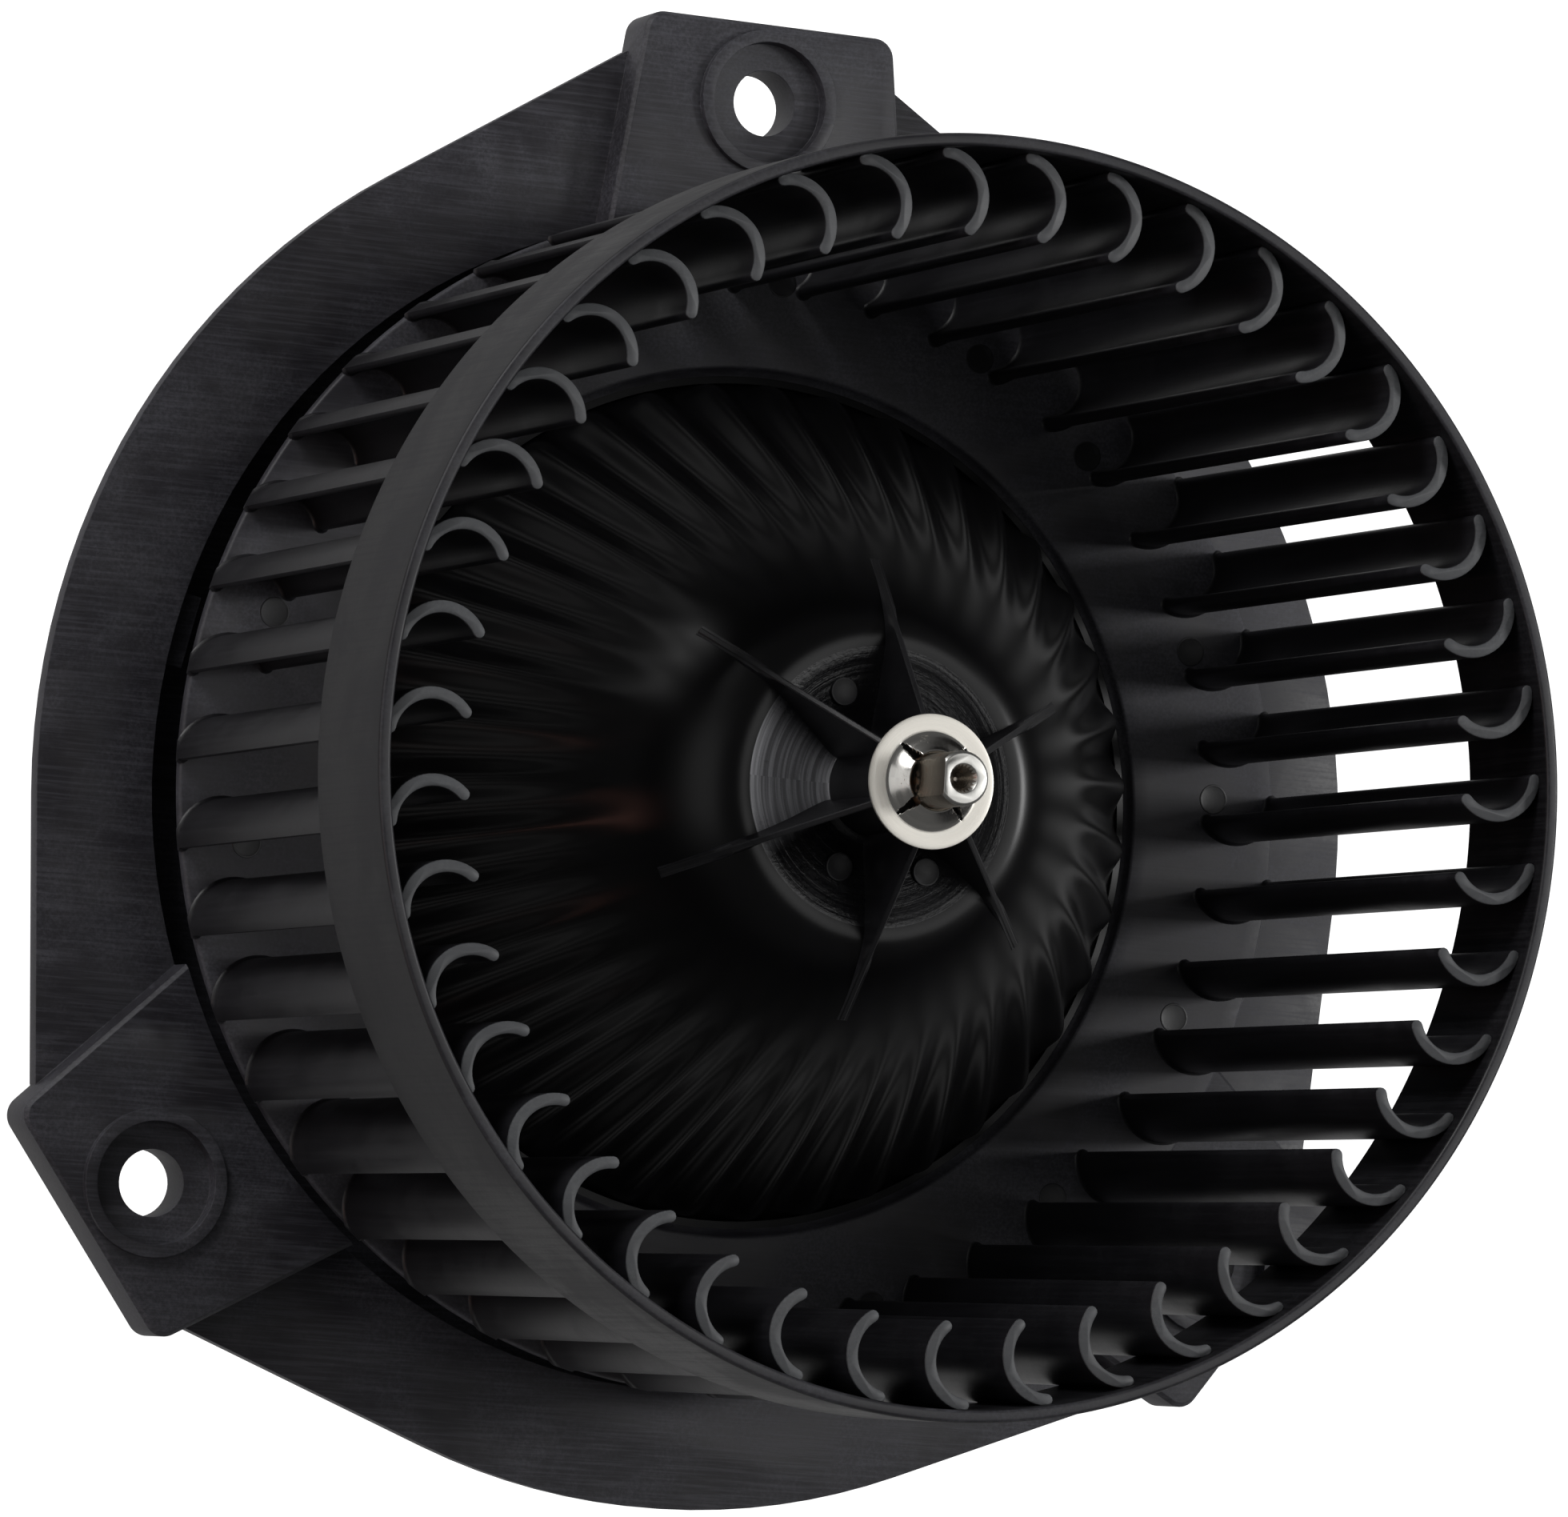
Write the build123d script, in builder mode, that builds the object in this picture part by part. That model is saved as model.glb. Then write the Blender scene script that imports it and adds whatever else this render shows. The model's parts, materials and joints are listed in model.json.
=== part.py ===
from build123d import *
import os
from math import cos, radians, sin

# Automotive heater blower: a forward-curved wheel on a brushed DC motor, carried by a
# three-eared flange.  Millimetres.  +Z runs along the shaft towards the wheel's inlet,
# +Y points at the single ear, and the origin is on the shaft axis in the flat rear face
# of the motor's cover.  The heights below are measured from the plane of the ear
# collars, where the unit seats against its case.  The finished nodes are lifted by
# seat_height, so that the rear face lies at z = 0.

os.makedirs("parts", exist_ok=True)

# ---------------------------------------------------------------- driving sizes
# wheel
wheel_radius = 73.0
wheel_front_z = 76.8
ring_wall = 1.5
ring_height = 19.8
blade_count = 43
blade_thickness = 1.4
blade_arc_radius = 5.0
blade_depth_share = 2.16
blade_drop_share = 0.652
blade_front_recess = 2.0
blade_phase = 2.65
plate_face_z = 4.8
plate_inset = 1.9
plate_thickness = 1.5
# bell in the middle of the wheel
bell_foot_radius = 51.3
bell_top_radius = 17.2
bell_top_z = 47.2
bell_curve = 1.5
bell_wall = 1.8
rib_depth = 1.6
rib_width = 2.2
rib_start_radius = 30.0
rib_count = 39
rib_phase = 7.0
dish_depth = 1.9
foot_groove = 0.9
# hub
hub_radius = 5.8
hub_top_z = 61.4
hub_bottom_z = 39.0
fin_reach = 27.0
fin_thickness = 1.0
fin_lines = (26.0, 89.5, 142.0)
nut_radius = 7.8
nut_sheet = 0.7
# shaft
shaft_radius = 3.175
shaft_top_z = 71.0
shaft_bottom_z = -50.9
shaft_flat = 0.8
centre_drill_radius = 1.7
# flange
flange_radius = 85.2
flange_face_z = -5.5
flange_sheet = 2.3
recess_radius = 70.9
recess_floor_z = -13.7
ear_spread = 126.5
ear_hole_radius_at = 85.4
ear_hole_radius = 4.0
ear_outer_y = 95.0
ear_outer_half = 16.1
ear_inner_y = 70.2
ear_inner_half = 20.1
ear_tangent_angle = 32.5
ear_corner = 2.5
collar_outer = 8.8
collar_inner = 7.3
collar_height = 0.9
counterbore_drop = 1.0
tab_angle = 167.5
tab_width = 8.8
tab_reach = 2.8
# motor
yoke_radius = 31.0
yoke_wall = 1.6
yoke_top_z = 24.0
yoke_bottom_z = -42.0
magnet_thickness = 6.4
magnet_half_angle = 62.0
air_gap = 0.7
core_top_z = 12.0
core_bottom_z = -20.0
slot_count = 12
coil_overhang = 6.0
commutator_radius = 11.0
commutator_top_z = -29.0
commutator_bottom_z = -40.0
bush_radius = 7.0
bush_length = 6.0
isolator_thickness = 2.0
cradle_wall = 2.4
cradle_top_z = 16.0
cradle_bottom_z = -46.0
seat_height = 58.0
cover_bottom_z = -seat_height

# ---------------------------------------------------------------- clearances
running_fit = 0.03
brush_gap = 0.3
brush_side_gap = 0.1

# ---------------------------------------------------------------- derived sizes
ring_inner = wheel_radius - ring_wall
blade_front_z = wheel_front_z - blade_front_recess
blade_tip_radius = wheel_radius - blade_depth_share * blade_arc_radius
blade_tip_drop = blade_drop_share * blade_arc_radius
plate_radius = wheel_radius - plate_inset
blade_centre_x = blade_tip_radius + (blade_arc_radius ** 2 - blade_tip_drop ** 2) ** 0.5
flange_back_z = flange_face_z - flange_sheet
ear_face_z = -collar_height
floor_back_z = recess_floor_z - flange_sheet
yoke_inner = yoke_radius - yoke_wall
magnet_inner = yoke_inner - magnet_thickness
core_radius = magnet_inner - air_gap
isolator_outer = yoke_radius + isolator_thickness
cradle_outer = isolator_outer + cradle_wall


def tube(inner, outer, low, high):
    """A plain ring or disc about the shaft axis between two heights."""
    with BuildPart() as body:
        with BuildSketch(Plane.XY.offset(low)):
            Circle(outer)
            if inner > 0:
                Circle(inner, mode=Mode.SUBTRACT)
        extrude(amount=high - low)
    return body


def bell_z(radius):
    """Height of the crest of the bell's ribs at a radius."""
    share = (radius - bell_top_radius) / (bell_foot_radius - bell_top_radius)
    return bell_top_z - (bell_top_z - plate_face_z) * share ** bell_curve


def bell_points(depth, drop, low=bell_top_radius, high=bell_foot_radius, steps=12):
    """Points down the bell's side, sunk by a rib depth and by an even wall drop."""
    points = []
    for step in range(steps + 1):
        radius = low + (high - low) * step / steps
        fade = (radius - rib_start_radius) / (44.0 - rib_start_radius)
        fade = min(max(fade, 0.0), 1.0)
        sink = depth * fade * fade * (3 - 2 * fade) + drop
        lower = max(radius - 0.2, bell_top_radius)
        slope = (bell_z(radius) - bell_z(lower)) / (radius - lower) if radius > lower else -0.3
        length = (1 + slope * slope) ** 0.5
        points.append((radius + sink * slope / length, bell_z(radius) - sink / length))
    return points


# ---------------------------------------------------------------- wheel: front ring
with BuildPart() as wheel_front_ring:
    with BuildSketch(Plane.XY.offset(wheel_front_z - ring_height)):
        Circle(wheel_radius)
        Circle(ring_inner, mode=Mode.SUBTRACT)
    extrude(amount=ring_height)
    fillet(wheel_front_ring.faces().sort_by(Axis.Z)[-1].edges(), radius=0.4)

# ---------------------------------------------------------------- wheel: blades
with BuildPart() as one_blade:
    with BuildSketch(Plane.XY.offset(plate_face_z)):
        with BuildLine(mode=Mode.PRIVATE) as blade_path:
            CenterArc(
                center=(blade_centre_x, blade_tip_drop),
                radius=blade_arc_radius,
                start_angle=220.7,
                arc_size=132.0,
            )
        SlotArc(arc=blade_path.edges()[0], height=blade_thickness)
        Circle(ring_inner, mode=Mode.INTERSECT)
    extrude(amount=blade_front_z - plate_face_z)

with BuildPart() as wheel_blades:
    with PolarLocations(0, blade_count, start_angle=blade_phase):
        add(one_blade.part)

# ---------------------------------------------------------------- wheel: back plate
with BuildPart() as wheel_back_plate:
    with BuildSketch(Plane.XY.offset(plate_face_z - plate_thickness)):
        Circle(plate_radius)
        Circle(bell_foot_radius, mode=Mode.SUBTRACT)
    extrude(amount=plate_thickness)
    with BuildSketch(Plane.XY.offset(plate_face_z)):
        Circle(bell_foot_radius + foot_groove)
    extrude(amount=-0.7, mode=Mode.SUBTRACT)

# ---------------------------------------------------------------- wheel: bell
valley = bell_points(rib_depth, 0.0)
inside = bell_points(rib_depth, bell_wall)
dish_z = bell_top_z - dish_depth
foot_z = plate_face_z - plate_thickness
inside_foot = (inside[-1][0], foot_z)
inside_top = (bell_top_radius - 1.2, dish_z - bell_wall)

with BuildPart() as wheel_bell:
    with BuildSketch(Plane.XZ):
        with BuildLine():
            Spline(*valley)
            Polyline(valley[-1], (bell_foot_radius, foot_z), inside_foot, inside[-2])
            Spline(*reversed(inside[2:-1]))
            Polyline(
                inside[2],
                (inside[2][0] - 1.0, dish_z - bell_wall),
                (hub_radius, dish_z - bell_wall),
                (hub_radius, dish_z),
                (bell_top_radius - 0.9, dish_z),
                valley[0],
            )
        make_face()
    revolve(axis=Axis.Z)

with BuildPart() as one_rib:
    with BuildSketch(Plane.XZ):
        with BuildLine():
            crest = bell_points(0.0, 0.0, low=rib_start_radius - 1.0, high=bell_foot_radius - 0.1)
            root = bell_points(rib_depth, 0.9, low=rib_start_radius - 1.0, high=bell_foot_radius - 0.1)
            Spline(*crest)
            Line(crest[-1], (crest[-1][0], foot_z + 0.2))
            Line((crest[-1][0], foot_z + 0.2), root[-1])
            Spline(*reversed(root))
            Line(root[0], crest[0])
        make_face()
    extrude(amount=rib_width / 2, both=True)

with BuildPart() as wheel_bell_ribbed:
    add(wheel_bell.part)
    with PolarLocations(0, rib_count, start_angle=rib_phase):
        add(one_rib.part)

# ---------------------------------------------------------------- shaft
with BuildPart() as shaft:
    with BuildSketch(Plane.XY.offset(shaft_bottom_z)):
        Circle(shaft_radius)
    extrude(amount=shaft_top_z - shaft_bottom_z)
    chamfer(shaft.edges().group_by(Axis.Z)[-1], length=0.3)
    chamfer(shaft.edges().group_by(Axis.Z)[0], length=0.4)
    with BuildSketch(Plane.XY.offset(hub_bottom_z + 4)):
        with Locations((-shaft_radius, 0)):
            Rectangle(2 * shaft_flat, 2 * shaft_radius)
    extrude(amount=shaft_top_z - hub_bottom_z, mode=Mode.SUBTRACT)
    with Locations((0, 0, shaft_top_z)):
        Cone(0.3, centre_drill_radius, 2.4, align=(Align.CENTER, Align.CENTER, Align.MAX), mode=Mode.SUBTRACT)

# ---------------------------------------------------------------- wheel: hub and fins
with BuildPart() as one_fin:
    with BuildSketch(Plane.XZ):
        with BuildLine():
            Polyline(
                (hub_radius - 1.0, hub_top_z - 1.0),
                (fin_reach, bell_z(fin_reach) + 0.6),
                (fin_reach, bell_z(fin_reach) - 0.6),
                (fin_reach - 5.0, bell_z(fin_reach - 5.0) - 0.9),
                (bell_top_radius + 1.0, bell_top_z - 1.1),
                (bell_top_radius - 1.0, dish_z - 0.8),
                (hub_radius - 1.0, dish_z - 0.8),
                close=True,
            )
        make_face()
    extrude(amount=fin_thickness / 2, both=True)

with BuildPart() as wheel_hub:
    with BuildSketch(Plane.XY.offset(hub_bottom_z)):
        Circle(hub_radius)
    extrude(amount=hub_top_z - hub_bottom_z)
    for line in fin_lines:
        with PolarLocations(0, 2, start_angle=line):
            add(one_fin.part)
    add(wheel_bell.part, mode=Mode.SUBTRACT)
    add(shaft.part, mode=Mode.SUBTRACT)

# ---------------------------------------------------------------- push-on nut
with BuildPart() as push_nut:
    with BuildSketch(Plane.XZ):
        with BuildLine():
            Polyline(
                (shaft_radius, hub_top_z + 1.2),
                (shaft_radius, hub_top_z + 1.2 + nut_sheet),
                (5.2, hub_top_z + nut_sheet + 0.1),
                (nut_radius - 0.5, hub_top_z + nut_sheet + 0.1),
                (nut_radius, hub_top_z + nut_sheet - 0.3),
                (nut_radius, hub_top_z),
                (5.0, hub_top_z),
                close=True,
            )
        make_face()
    revolve(axis=Axis.Z)
    with BuildSketch(Plane.XY.offset(hub_top_z)):
        with PolarLocations(shaft_radius + 1.2, 4, start_angle=45):
            Rectangle(2.7, 0.9)
    extrude(amount=3.0, mode=Mode.SUBTRACT)

# ---------------------------------------------------------------- mounting flange
with BuildPart() as one_ear:
    with BuildSketch(Plane.XY.offset(flange_back_z)) as ear_outline:
        with BuildLine():
            Polyline(
                (-ear_inner_half, ear_inner_y - 6),
                (-ear_outer_half, ear_outer_y),
                (ear_outer_half, ear_outer_y),
                (ear_inner_half, ear_inner_y - 6),
                close=True,
            )
        make_face()
        fillet(ear_outline.vertices().group_by(Axis.Y)[-1], radius=ear_corner)
        Circle(recess_radius, mode=Mode.SUBTRACT)
    extrude(amount=ear_face_z - flange_back_z)
    outer_edges = one_ear.faces().sort_by(Axis.Z)[-1].edges().filter_by(
        lambda edge: edge.center().Y > recess_radius + 1.0
    )
    chamfer(outer_edges, length=0.5)
    with BuildSketch(Plane.XY.offset(ear_face_z - 0.5)):
        with Locations((0, ear_hole_radius_at)):
            Circle(collar_outer)
    extrude(amount=collar_height + 0.5)
    with BuildSketch(Plane.XY.offset(0)):
        with Locations((0, ear_hole_radius_at)):
            Circle(collar_inner)
    extrude(amount=ear_face_z - counterbore_drop, mode=Mode.SUBTRACT)

ear_turns = (0, ear_spread, -ear_spread)
run = radians(ear_tangent_angle)
side_y = ear_inner_y + (ear_outer_y - ear_inner_y) * 0.81
side_x = ear_inner_half + (ear_outer_half - ear_inner_half) * 0.81

with BuildPart() as one_gusset:
    with BuildSketch(Plane.XY.offset(flange_back_z)):
        Polygon(
            (0, 0),
            (flange_radius * sin(run), flange_radius * cos(run)),
            (side_x, side_y),
            (-side_x, side_y),
            (-flange_radius * sin(run), flange_radius * cos(run)),
            align=None,
        )
        Circle(recess_radius + flange_sheet + 1.0, mode=Mode.SUBTRACT)
    extrude(amount=flange_sheet)

with BuildPart() as mounting_flange:
    with BuildSketch(Plane.XZ):
        with BuildLine():
            Polyline(
                (recess_radius, flange_face_z),
                (flange_radius, flange_face_z),
                (flange_radius, flange_back_z),
                (recess_radius + flange_sheet, flange_back_z),
                (recess_radius + flange_sheet, floor_back_z),
                (cradle_outer, floor_back_z),
                (cradle_outer, recess_floor_z),
                (recess_radius, recess_floor_z),
                close=True,
            )
        make_face()
    revolve(axis=Axis.Z)
    for turn in ear_turns:
        add(one_gusset.part.rotate(Axis.Z, turn))
        add(one_ear.part.rotate(Axis.Z, turn))
    for turn in ear_turns:
        with BuildSketch(Plane.XY.offset(flange_back_z - 0.1)):
            with PolarLocations(ear_hole_radius_at, 1, start_angle=90 + turn):
                Circle(ear_hole_radius)
        extrude(amount=10, mode=Mode.SUBTRACT)
    with BuildSketch(Plane.XY.offset(recess_floor_z - 0.5)):
        with PolarLocations(recess_radius - tab_reach / 2 + 0.4, 1, start_angle=tab_angle):
            Rectangle(tab_reach + 0.8, tab_width)
    extrude(amount=flange_face_z - 2.2 - recess_floor_z + 0.5)
    with BuildSketch(Plane.XY.offset(floor_back_z - 5.0)):
        with PolarLocations((recess_radius + 49) / 2, 12, start_angle=15):
            Rectangle(recess_radius - 49, 2.0)
    extrude(amount=5.5)

# ---------------------------------------------------------------- cradle
collar_reach = cradle_outer + 9.0
screw_circle = cradle_outer + 5.0
screw_hole = 2.0

with BuildPart() as motor_cradle:
    with BuildSketch(Plane.XY.offset(cradle_bottom_z)):
        Circle(cradle_outer)
        Circle(isolator_outer, mode=Mode.SUBTRACT)
    extrude(amount=cradle_top_z - cradle_bottom_z)
    with BuildSketch(Plane.XY.offset(floor_back_z - 3.0)):
        Circle(collar_reach)
        Circle(isolator_outer, mode=Mode.SUBTRACT)
        with PolarLocations(screw_circle, 4, start_angle=45):
            Circle(screw_hole, mode=Mode.SUBTRACT)
    extrude(amount=3.0)
    with BuildSketch(Plane.XY.offset(cradle_top_z - 2.0)):
        Circle(cradle_outer)
        Circle(yoke_radius + 0.4, mode=Mode.SUBTRACT)
    extrude(amount=2.0)

with BuildPart() as cradle_screws:
    with BuildSketch(Plane.XY.offset(floor_back_z - 5.4)):
        with PolarLocations(screw_circle, 4, start_angle=45):
            Circle(3.8)
    extrude(amount=2.4)
    with BuildSketch(Plane.XY.offset(floor_back_z - 3.0)):
        with PolarLocations(screw_circle, 4, start_angle=45):
            Circle(screw_hole)
    extrude(amount=3.0 + flange_sheet - 0.3)
    with BuildSketch(Plane.XY.offset(floor_back_z - 5.4)):
        with PolarLocations(screw_circle, 4, start_angle=45):
            Rectangle(4.4, 0.9)
            Rectangle(0.9, 4.4)
    extrude(amount=1.2, mode=Mode.SUBTRACT)

with BuildPart() as mounting_flange_drilled:
    add(mounting_flange.part)
    with BuildSketch(Plane.XY.offset(floor_back_z)):
        with PolarLocations(screw_circle, 4, start_angle=45):
            Circle(screw_hole)
    extrude(amount=flange_sheet - 0.3, mode=Mode.SUBTRACT)

# ---------------------------------------------------------------- rubber isolators
with BuildPart() as isolator_rings:
    for low in (cradle_bottom_z + 8.0, cradle_top_z - 12.0):
        with BuildSketch(Plane.XY.offset(low)):
            Circle(isolator_outer)
            Circle(yoke_radius, mode=Mode.SUBTRACT)
        extrude(amount=10.0)

# ---------------------------------------------------------------- yoke and its bush
boss_wall = 1.8
boss_top_z = yoke_top_z + bush_length + 1.2
with BuildPart() as motor_yoke:
    with BuildSketch(Plane.XZ):
        with BuildLine():
            Polyline(
                (yoke_radius, yoke_bottom_z),
                (yoke_radius, yoke_top_z - 1.5),
                (yoke_radius - 1.5, yoke_top_z),
                (bush_radius + boss_wall, yoke_top_z),
                (bush_radius + boss_wall, boss_top_z),
                (4.5, boss_top_z),
                (4.5, boss_top_z - 1.2),
                (bush_radius, boss_top_z - 1.2),
                (bush_radius, yoke_top_z - yoke_wall),
                (yoke_inner, yoke_top_z - yoke_wall),
                (yoke_inner, yoke_bottom_z),
                close=True,
            )
        make_face()
    revolve(axis=Axis.Z)
    with BuildSketch(Plane.XY.offset(yoke_bottom_z)):
        with PolarLocations(yoke_inner + yoke_wall / 2, 4, start_angle=45):
            Rectangle(1.2, 6.0)
    extrude(amount=-2.6)
    with BuildSketch(Plane.XY.offset(yoke_top_z)):
        with PolarLocations(19.5, 6, start_angle=30):
            SlotCenterToCenter(6.0, 4.0, rotation=90)
    extrude(amount=-yoke_wall, mode=Mode.SUBTRACT)

with BuildPart() as front_bush:
    with BuildSketch(Plane.XY.offset(yoke_top_z)):
        Circle(bush_radius)
        Circle(shaft_radius + running_fit, mode=Mode.SUBTRACT)
    extrude(amount=bush_length)
    chamfer(front_bush.edges().group_by(Axis.Z)[-1].sort_by(SortBy.LENGTH)[-1], length=0.6)

front_retainer = tube(4.4, bush_radius, yoke_top_z - 0.9, yoke_top_z)

# ---------------------------------------------------------------- field magnets
magnet_top_z = core_top_z + 4.0
magnet_bottom_z = core_bottom_z - 4.0

with BuildPart() as field_magnets:
    with BuildSketch(Plane.XY.offset(magnet_bottom_z)):
        Circle(yoke_inner)
        Circle(magnet_inner, mode=Mode.SUBTRACT)
        reach = 2 * yoke_radius
        for side in (0, 180):
            with Locations(Rotation(0, 0, side)):
                Polygon(
                    (0, 0),
                    (reach * cos(radians(magnet_half_angle)), reach * sin(radians(magnet_half_angle))),
                    (0, reach * 1.2),
                    (-reach * cos(radians(magnet_half_angle)), reach * sin(radians(magnet_half_angle))),
                    align=None,
                    mode=Mode.SUBTRACT,
                )
    extrude(amount=magnet_top_z - magnet_bottom_z)
    chamfer(field_magnets.edges().group_by(Axis.Z)[-1].filter_by(GeomType.CIRCLE), length=0.6)

with BuildPart() as magnet_clips:
    gap_half = magnet_inner * cos(radians(magnet_half_angle)) + 0.3
    with BuildSketch(Plane.XY.offset(magnet_bottom_z + 2.0)):
        for side in (1, -1):
            with BuildLine():
                Polyline(
                    (-gap_half + 2.0, side * (magnet_inner + 1.2)),
                    (-gap_half + 3.0, side * (magnet_inner + 4.6)),
                    (gap_half - 3.0, side * (magnet_inner + 4.6)),
                    (gap_half - 2.0, side * (magnet_inner + 1.2)),
                    (gap_half - 2.8, side * (magnet_inner + 1.2)),
                    (gap_half - 3.7, side * (magnet_inner + 3.8)),
                    (-gap_half + 3.7, side * (magnet_inner + 3.8)),
                    (-gap_half + 2.8, side * (magnet_inner + 1.2)),
                    close=True,
                )
            make_face()
    extrude(amount=magnet_top_z - magnet_bottom_z - 4.0)

# ---------------------------------------------------------------- armature
tooth_width = 3.4
core_hub = 8.6
shoe_depth = 1.6
slot_mouth = 2.2

with BuildPart() as armature_core:
    with BuildSketch(Plane.XY.offset(core_bottom_z)):
        Circle(core_radius)
        Circle(core_radius - shoe_depth, mode=Mode.SUBTRACT)
        with PolarLocations(core_radius - shoe_depth / 2, slot_count, start_angle=180 / slot_count):
            Rectangle(shoe_depth * 3, slot_mouth, mode=Mode.SUBTRACT)
        with PolarLocations((core_radius + core_hub) / 2 - 0.6, slot_count):
            Rectangle(core_radius - core_hub, tooth_width)
        Circle(core_hub)
        Circle(shaft_radius, mode=Mode.SUBTRACT)
    extrude(amount=core_top_z - core_bottom_z)

wind_inner = core_hub + 0.4
wind_outer = core_radius - shoe_depth - 0.4

with BuildPart() as armature_windings:
    with BuildSketch(Plane.XY.offset(core_bottom_z)):
        Circle(wind_outer)
        Circle(wind_inner, mode=Mode.SUBTRACT)
        with PolarLocations((core_radius + core_hub) / 2, slot_count):
            Rectangle(core_radius, tooth_width + 0.6, mode=Mode.SUBTRACT)
    extrude(amount=core_top_z - core_bottom_z)
    for level, way in ((core_top_z, 1), (core_bottom_z, -1)):
        with BuildSketch(Plane.XZ):
            with BuildLine():
                Polyline(
                    (wind_inner, level),
                    (wind_inner, level + way * (coil_overhang - 1.5)),
                    (wind_inner + 1.5, level + way * coil_overhang),
                    (wind_outer - 3.0, level + way * (coil_overhang - 0.6)),
                    (wind_outer, level + way * (coil_overhang - 3.0)),
                    (wind_outer, level),
                    close=True,
                )
            make_face()
        revolve(axis=Axis.Z)

with BuildPart() as commutator:
    with BuildSketch(Plane.XY.offset(commutator_bottom_z)):
        Circle(commutator_radius)
        Circle(shaft_radius, mode=Mode.SUBTRACT)
    extrude(amount=commutator_top_z - commutator_bottom_z)
    with BuildSketch(Plane.XY.offset(commutator_top_z - 1.6)):
        Circle(commutator_radius + 1.6)
        Circle(commutator_radius - 1.0, mode=Mode.SUBTRACT)
    extrude(amount=1.6)
    with BuildSketch(Plane.XY.offset(commutator_bottom_z)):
        with PolarLocations(commutator_radius + 0.8, slot_count):
            Rectangle(3.2, 0.5)
    extrude(amount=commutator_top_z - commutator_bottom_z, mode=Mode.SUBTRACT)

front_spacer_low = core_top_z
spacer_outer = 4.1
with BuildPart() as shaft_spacers:
    with BuildSketch(Plane.XY.offset(core_top_z)):
        Circle(spacer_outer)
        Circle(shaft_radius, mode=Mode.SUBTRACT)
    extrude(amount=yoke_top_z - 0.3 - core_top_z)
    with BuildSketch(Plane.XY.offset(commutator_top_z)):
        Circle(spacer_outer + 2.0)
        Circle(shaft_radius, mode=Mode.SUBTRACT)
    extrude(amount=core_bottom_z - commutator_top_z)

# ---------------------------------------------------------------- end plate, rear bush
plate_low_z = yoke_bottom_z - 1.6
rear_bush_top_z = plate_low_z - 0.4
with BuildPart() as end_plate:
    with BuildSketch(Plane.XZ):
        with BuildLine():
            Polyline(
                (yoke_radius, yoke_bottom_z),
                (yoke_radius, plate_low_z),
                (bush_radius + boss_wall, plate_low_z),
                (bush_radius + boss_wall, rear_bush_top_z - bush_length - 2.4),
                (0, rear_bush_top_z - bush_length - 2.4),
                (0, rear_bush_top_z - bush_length - 1.2),
                (bush_radius, rear_bush_top_z - bush_length - 1.2),
                (bush_radius, yoke_bottom_z),
                close=True,
            )
        make_face()
    revolve(axis=Axis.Z)
    with BuildSketch(Plane.XY.offset(yoke_bottom_z)):
        with PolarLocations(yoke_inner + yoke_wall / 2, 4, start_angle=45):
            Rectangle(1.2, 6.0)
    extrude(amount=-2.6, mode=Mode.SUBTRACT)
    with BuildSketch(Plane.XY.offset(yoke_bottom_z)):
        with PolarLocations(19.0, 4, start_angle=45):
            SlotCenterToCenter(7.0, 4.0, rotation=90)
    extrude(amount=-1.6, mode=Mode.SUBTRACT)

rear_bush = tube(shaft_radius + running_fit, bush_radius, rear_bush_top_z - bush_length, rear_bush_top_z)
rear_retainer = tube(4.4, bush_radius, rear_bush_top_z, rear_bush_top_z + 0.9)
thrust_pad = tube(0, bush_radius - 0.6, rear_bush_top_z - bush_length - 1.2, rear_bush_top_z - bush_length - 0.9)

# ---------------------------------------------------------------- brush gear
spring_space = 6.3
brush_high = 6.4
brush_wide = 8.0
holder_wall = 0.6
holder_start = commutator_radius + 3.4
holder_end = yoke_inner - 1.2
brush_start = commutator_radius + brush_gap
brush_long = holder_end - holder_wall - brush_start - spring_space
card_top_z = commutator_bottom_z - 0.4
brush_level = card_top_z + holder_wall + brush_side_gap + brush_high / 2

brush_card = tube(commutator_radius + 1.4, yoke_inner, yoke_bottom_z, card_top_z)

box_high = brush_high + 2 * brush_side_gap + 2 * holder_wall
box_wide = brush_wide + 2 * brush_side_gap + 2 * holder_wall

with BuildPart() as brush_holders:
    for side in (1, -1):
        with Locations((side * (holder_start + holder_end) / 2, 0, card_top_z + box_high / 2)):
            Box(holder_end - holder_start, box_wide, box_high)
        with Locations((side * ((holder_start + holder_end) / 2 - holder_wall), 0, brush_level)):
            Box(
                holder_end - holder_start,
                brush_wide + 2 * brush_side_gap,
                brush_high + 2 * brush_side_gap,
                mode=Mode.SUBTRACT,
            )


def brush(side):
    """One carbon brush on the +X or -X side of the commutator."""
    with BuildPart() as body:
        with Locations((side * (brush_start + brush_long / 2), 0, brush_level)):
            Box(brush_long, brush_wide, brush_high)
        with BuildSketch(Plane.XY.offset(brush_level - brush_high)):
            Circle(commutator_radius + brush_gap)
        extrude(amount=2 * brush_high, mode=Mode.SUBTRACT)
    return body


spring_wire = 0.25
spring_low = brush_start + brush_long + spring_wire
spring_high = holder_end - holder_wall - spring_wire

with BuildPart() as coil:
    with BuildLine() as coil_path:
        Helix(pitch=(spring_high - spring_low) / 4.0, height=spring_high - spring_low, radius=2.2)
    with BuildSketch(Plane(origin=coil_path.line @ 0, z_dir=coil_path.line % 0)):
        Circle(spring_wire)
    sweep(path=coil_path.line, is_frenet=True)

with BuildPart() as spring_right:
    add(Pos(spring_low, 0, brush_level) * Rot(0, 90, 0) * coil.part)

with BuildPart() as spring_left:
    add(Pos(-spring_low, 0, brush_level) * Rot(0, -90, 0) * coil.part)

brush_left = brush(-1)
brush_right = brush(1)

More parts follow.
